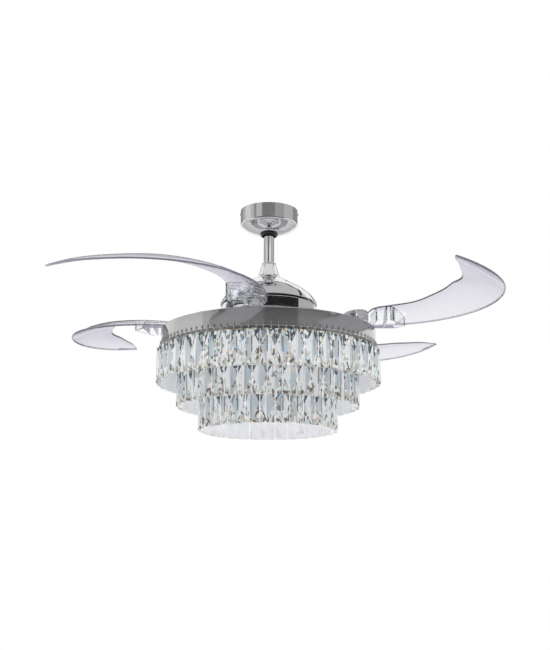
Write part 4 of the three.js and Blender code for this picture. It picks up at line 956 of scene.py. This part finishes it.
# The bowl's curve, as shares of its radius and millimetres up from its foot.
BOWL_CURVE = [(0, 0), (0.3, 0.5), (0.6, 2.8), (0.88, 8.5), (0.985, 18)]
bowl_foot, bowl_top = levels("diffuser")
curve = [(BOWL_RADIUS * out, bowl_foot + up) for out, up in BOWL_CURVE]
outer_curve = bulged(curve + [(BOWL_RADIUS, bowl_top)])
inner_curve = []
for p in reversed(outer_curve):
    out = p.x / BOWL_RADIUS
    inner_curve.append(Vector((max(0, p.x - BOWL_WALL * out), p.y + BOWL_WALL * (1 - out))))
turned("bowl", outer_curve + inner_curve, 128, opal_bowl, "stem", "opal", "diffuser", closed=False)

# ---------------------------------------------- the cut-glass drops
# Three tiers of drops hang edge to edge on wire hooks from the band and the two rails. A drop is a flat
# slab of lead glass: a long ridged lozenge on its face, four bevelled corners, and a plain back.
DROP_HEIGHT = 82.5
DROP_DEPTH = 13.0
COUNTS = {"outer": 50, "middle": 40, "inner": 30}
SIDE_GAP = 0.35
# What each facet is, kept with the mesh for the glass to read.
TOP_CORNER, LOW_CORNER, PLAIN_BACK, LOZENGE = 0.0, 0.25, 0.5, 1.0


def drop_mesh(width):
    """One drop, hung from the origin with its face towards +X. Each facet keeps its own kind."""
    w, h = width / 2 - SIDE_GAP, DROP_HEIGHT
    bm = bmesh.new()
    kind = bm.faces.layers.float.new("facet")
    spot = bm.verts.layers.float_vector.new("spot")

    def vert(x, y, z):
        made = bm.verts.new((x * MM, y * MM, z * MM))
        made[spot] = (y / w, -z / h, 0)
        return made

    ridge_top, ridge_low = vert(0, 0, -2.0), vert(0, 0, -h + 2.0)
    crest_top, crest_low = vert(-1.2, 0, 0), vert(-1.2, 0, -h)
    back = {(s, t): vert(-DROP_DEPTH, s * w, -h * t) for s in (-1, 1) for t in (0, 1)}
    side = {s: vert(-4.6, s * w, -h * 0.46) for s in (-1, 1)}
    corner = {(s, t): vert(-8.5, s * w, -h * t) for s in (-1, 1) for t in (0, 1)}

    def facet(tint, *verts):
        face = bm.faces.new(verts)
        face[kind] = tint

    for s in (-1, 1):
        facet(LOZENGE, ridge_top, side[s], ridge_low)
        facet(TOP_CORNER, ridge_top, crest_top, corner[s, 0], side[s])
        facet(LOW_CORNER, ridge_low, side[s], corner[s, 1], crest_low)
        facet(PLAIN_BACK, corner[s, 0], back[s, 0], back[s, 1], corner[s, 1], side[s])
    facet(PLAIN_BACK, back[-1, 0], back[1, 0], back[1, 1], back[-1, 1])
    facet(PLAIN_BACK, back[-1, 0], corner[-1, 0], crest_top, corner[1, 0], back[1, 0])
    facet(LOW_CORNER, back[-1, 1], back[1, 1], corner[1, 1], crest_low, corner[-1, 1])
    bmesh.ops.triangulate(bm, faces=[f for f in bm.faces if len(f.verts) == 4 and f[kind] < 0.4])
    return meshed(bm, "drop")


HOOK_WIRE = 1.15
HOOK_RISE = 17.5
HOOK_SPREAD = 8.6


def wire_mesh(points, radius, sides=8):
    """A round wire along points in millimetres, closed at both ends."""
    sections = []
    for i, point in enumerate(points):
        ahead = points[min(i + 1, len(points) - 1)] - points[max(i - 1, 0)]
        turn = ahead.to_track_quat("Z", "Y")
        sections.append([(point + turn @ Vector((x, y, 0))) * MM for x, y in circle(radius, sides)])
    return finished(lofted(sections), "wire", 60)


def hook_mesh(inward):
    """A pair of wire hooks: each rises from the drop's top, leans in to the rail's face and curls over."""
    bm = bmesh.new()
    for side in (-1, 1):
        y = side * HOOK_SPREAD
        run = [(-6.5, -3.0), (-6.5, 2.0), (-7.2, 6.0), (inward + 1.5, 8.0), (inward + 1.3, 12.5),
               (inward + 1.7, 15.5), (inward + 1.4, HOOK_RISE)]
        part = wire_mesh([Vector((x, y, z)) for x, z in run], HOOK_WIRE)
        bm.from_mesh(part)
        bpy.data.meshes.remove(part)
    return finished(bm, "hooks", 60)


def staple_mesh():
    """The brass staple that joins a drop's two hooks, sagging a little across its top."""
    run = []
    for k in range(-5, 6):
        y = HOOK_SPREAD * k / 5
        run.append(Vector((-0.4 - 0.9 * abs(y) / HOOK_SPREAD, y, -1.0 - 1.6 * (1 - (y / HOOK_SPREAD) ** 2))))
    return wire_mesh(run, 0.75, 6)


def ring_tree():
    """A node tree that sets copies of a thing round the fan's axis, each a little out of true."""
    tree = bpy.data.node_groups.new("hung_round", "GeometryNodeTree")
    face = tree.interface
    for name, kind in (("Thing", "Object"), ("Count", "Int"), ("Radius", "Float"), ("Height", "Float"),
                       ("Unevenness", "Float"), ("Finish", "Material")):
        face.new_socket(name, in_out="INPUT", socket_type="NodeSocket" + kind)
    face.new_socket("Geometry", in_out="OUTPUT", socket_type="NodeSocketGeometry")

    def node(kind, settings, **inputs):
        """Adds a node: its settings, then the values or the linked outputs of its inputs."""
        made = tree.nodes.new(kind)
        for name, value in settings.items():
            setattr(made, name, value)
        for name, value in inputs.items():
            socket = made.inputs[int(name[1:]) if name[1:].isdigit() else name]
            if isinstance(value, bpy.types.NodeSocket):
                tree.links.new(value, socket)
            else:
                socket.default_value = value
        return made.outputs

    given = tree.nodes.new("NodeGroupInput").outputs
    up = node("ShaderNodeCombineXYZ", {}, Z=given["Height"])[0]
    rim = node("GeometryNodeMeshCircle", {}, Vertices=given["Count"], Radius=given["Radius"])["Mesh"]
    lifted = node("GeometryNodeTransform", {}, Geometry=rim, Translation=up)["Geometry"]
    thing = node("GeometryNodeObjectInfo", {}, Object=given["Thing"])["Geometry"]
    index = node("GeometryNodeInputIndex", {})[0]
    turns = node("ShaderNodeMath", {"operation": "MULTIPLY"}, _0=index, _1=2 * math.pi)[0]
    share = node("ShaderNodeMath", {"operation": "DIVIDE"}, _0=turns, _1=given["Count"])[0]
    outward = node("ShaderNodeCombineXYZ", {}, Z=share)[0]
    most = given["Unevenness"]
    least = node("ShaderNodeMath", {"operation": "MULTIPLY"}, _0=most, _1=-1)[0]
    low, high = [node("ShaderNodeCombineXYZ", {}, X=end, Y=end, Z=end)[0] for end in (least, most)]
    random = {"data_type": "FLOAT_VECTOR"}
    jitter = node("FunctionNodeRandomValue", random, Seed=7, Min=low, Max=high)["Value"]
    tilt = node("ShaderNodeVectorMath", {"operation": "ADD"}, _0=outward, _1=jitter)[0]
    hung = node("GeometryNodeInstanceOnPoints", {}, Points=lifted, Instance=thing, Rotation=tilt)["Instances"]
    chance = node("FunctionNodeRandomValue", {}, Seed=3)[1]
    kept = node("GeometryNodeStoreNamedAttribute", {"domain": "INSTANCE"}, Geometry=hung, Name="luck",
                Value=chance)["Geometry"]
    real = node("GeometryNodeRealizeInstances", {}, Geometry=kept)["Geometry"]
    painted = node("GeometryNodeSetMaterial", {}, Geometry=real, Material=given["Finish"])["Geometry"]
    tree.links.new(painted, tree.nodes.new("NodeGroupOutput").inputs[0])
    return tree


hung_round = ring_tree()


def hung(name, mesh, count, radius, height, unevenness, material, half_step):
    """Hangs copies of a mesh round the axis and returns them as one plain mesh."""
    thing = linked(f"{name}_pattern", mesh)
    holder = linked(name, bpy.data.meshes.new(name))
    pattern = holder.modifiers.new("hung", "NODES")
    pattern.node_group = hung_round
    values = {"Thing": thing, "Count": count, "Radius": radius, "Height": height, "Unevenness": unevenness,
              "Finish": material}
    for item in hung_round.interface.items_tree:
        if item.in_out == "INPUT":
            pattern[item.identifier] = values[item.name]
    made = result_of(holder)
    made.name = name
    for each in (holder, thing):
        bpy.data.objects.remove(each)
    made.transform(Matrix.Rotation(half_step, 4, "Z"))
    return made


# The drops' colour is painted light, for the light that many facets throw: painted pale streaks down the
# lozenges, painted dark and brown splinters in the corners, and here and there a painted splinter of one
# colour of the spectrum.
glass = fresh("lead_glass_and_painted_light")
spot = glass.node("Attribute", {"attribute_name": "spot"}, output="Vector")
across, down = [glass.node("SeparateXYZ", inputs={"Vector": spot}, output=axis) for axis in ("X", "Y")]
kind = glass.told("facet")
luck = glass.told("luck")
is_lozenge = kind > 0.75
is_corner = kind < 0.4
is_low = kind > 0.12
is_cut = glass.maths("MAXIMUM", is_lozenge, is_corner)

cells = glass.node("TexVoronoi", {"feature": "F1"}, {"Vector": glass.place((1, 1, 0.55)), "Scale": 230.0},
                   output="Color")
red, green, blue = [glass.node("SeparateColor", inputs={"Color": cells}, output=name)
                    for name in ("Red", "Green", "Blue")]
painted_streak = glass.noise(150.0, stretch=(1, 1, 0.06))
cloud = glass.noise(60.0, stretch=(1, 1, 0.5), detail=1.0)

# The corners: painted dark or middling splinters of refracted light, and a few painted bright glints.
dark = glass.blend(is_low, (0.06, 0.08, 0.09), (0.16, 0.135, 0.105))
middling = glass.blend(is_low, (0.30, 0.345, 0.355), (0.60, 0.60, 0.55))
painted_corner_splinters = glass.blend(red + 0.22 * is_low > 0.46, dark, middling)
painted_corner_splinters = glass.blend(red + 0.15 * is_low > 0.74, painted_corner_splinters, (0.94, 0.98, 0.95))

# The lozenges: painted streaks of reflected light, one half in painted shade, patches of painted refraction,
# and on some drops a painted dark stroke at the ridge.
PAINTED_STREAKS = [(0.30, (0.30, 0.36, 0.38)), (0.38, (0.66, 0.78, 0.84)), (0.46, (1, 1, 1)), (1.0, (1, 1, 1))]
painted_lozenge_light = glass.node("ValToRGB", {"stops": PAINTED_STREAKS}, {"Fac": painted_streak})
painted_shade_half = across * (1 - 2 * (luck > 0.62)) > 0.0
painted_lozenge_light = glass.blend(painted_shade_half * (0.35 + 0.5 * painted_streak), painted_lozenge_light, (0.36, 0.45, 0.50))
painted_refraction_patch = cloud + 0.12 * luck > 0.68
painted_lozenge_light = glass.blend(painted_refraction_patch * 0.75, painted_lozenge_light, painted_corner_splinters)
ridge = (glass.maths("ABSOLUTE", across) < 0.075) * (down > 0.22) * (down < 0.66) * (luck > 0.45)
painted_lozenge_light = glass.blend(ridge * 0.9, painted_lozenge_light, (0.04, 0.045, 0.05))

# The spectrum colours are painted glints, standing in for the colours that cut glass throws.
PAINTED_SPECTRUM = [(0.0, (0.25, 0.60, 1.0)), (0.3, (0.55, 0.95, 0.95)), (0.5, (1.0, 0.92, 0.45)),
            (0.75, (1.0, 0.60, 0.35)), (1.0, (0.80, 0.60, 1.0))]
painted_spectrum_glint = glass.node("ValToRGB", {"stops": PAINTED_SPECTRUM}, {"Fac": blue})
# The drop's colour: its plain faces' own pale tint, with the painted light of the corners and lozenges and
# the painted spectrum glints over it.
tone = glass.blend(is_corner, (0.93, 0.93, 0.965), painted_corner_splinters)
tone = glass.blend(is_lozenge, tone, painted_lozenge_light)
tone = glass.blend((green > 0.965) * is_cut * 0.7, tone, painted_spectrum_glint)
# A painted glow, brightest on the plain faces, for the drops shining with the lamp inside them.
painted_glow = glass.blend(0.36 + 0.64 * (1 - is_cut), (0, 0, 0), tone)
lead_glass_and_painted_light = glass.skin(Base_Color=tone, Roughness=0.02, Transmission_Weight=0.36, IOR=1.5,
                        Emission_Color=painted_glow, Emission_Strength=0.2)

staple_brass = grained("staple_brass", (0.55, 0.40, 0.16), (0.82, 0.64, 0.30), (300.0,), (0.2, 0.15),
                        Metallic=1.0)
hook_silver = chrome("hook_silver", 0.72, 0.12)

UNEVENNESS = 0.014
for tier, count in COUNTS.items():
    radius = TIER_RADII[tier]
    top = (levels(f"{tier}_crystals")[0] + DROP_HEIGHT) * MM
    half_step = math.pi / count
    width = 2 * (radius - DROP_DEPTH) * math.tan(half_step)
    for what, pattern, unevenness, material, slot, nodes in (
        ("drops", drop_mesh(width), UNEVENNESS, lead_glass_and_painted_light, "crystal", [f"{tier}_crystals"]),
        ("hooks", hook_mesh(-OVERHANG), 0.0, hook_silver, "rail_chrome", []),
        ("staples", staple_mesh(), 0.0, staple_brass, "rail_chrome", []),
    ):
        name = f"{tier}_{what}"
        copies = hung(name, pattern, count, radius * MM, top, unevenness, material, half_step)
        fitted(copies, name, material, "stem", slot, *nodes)
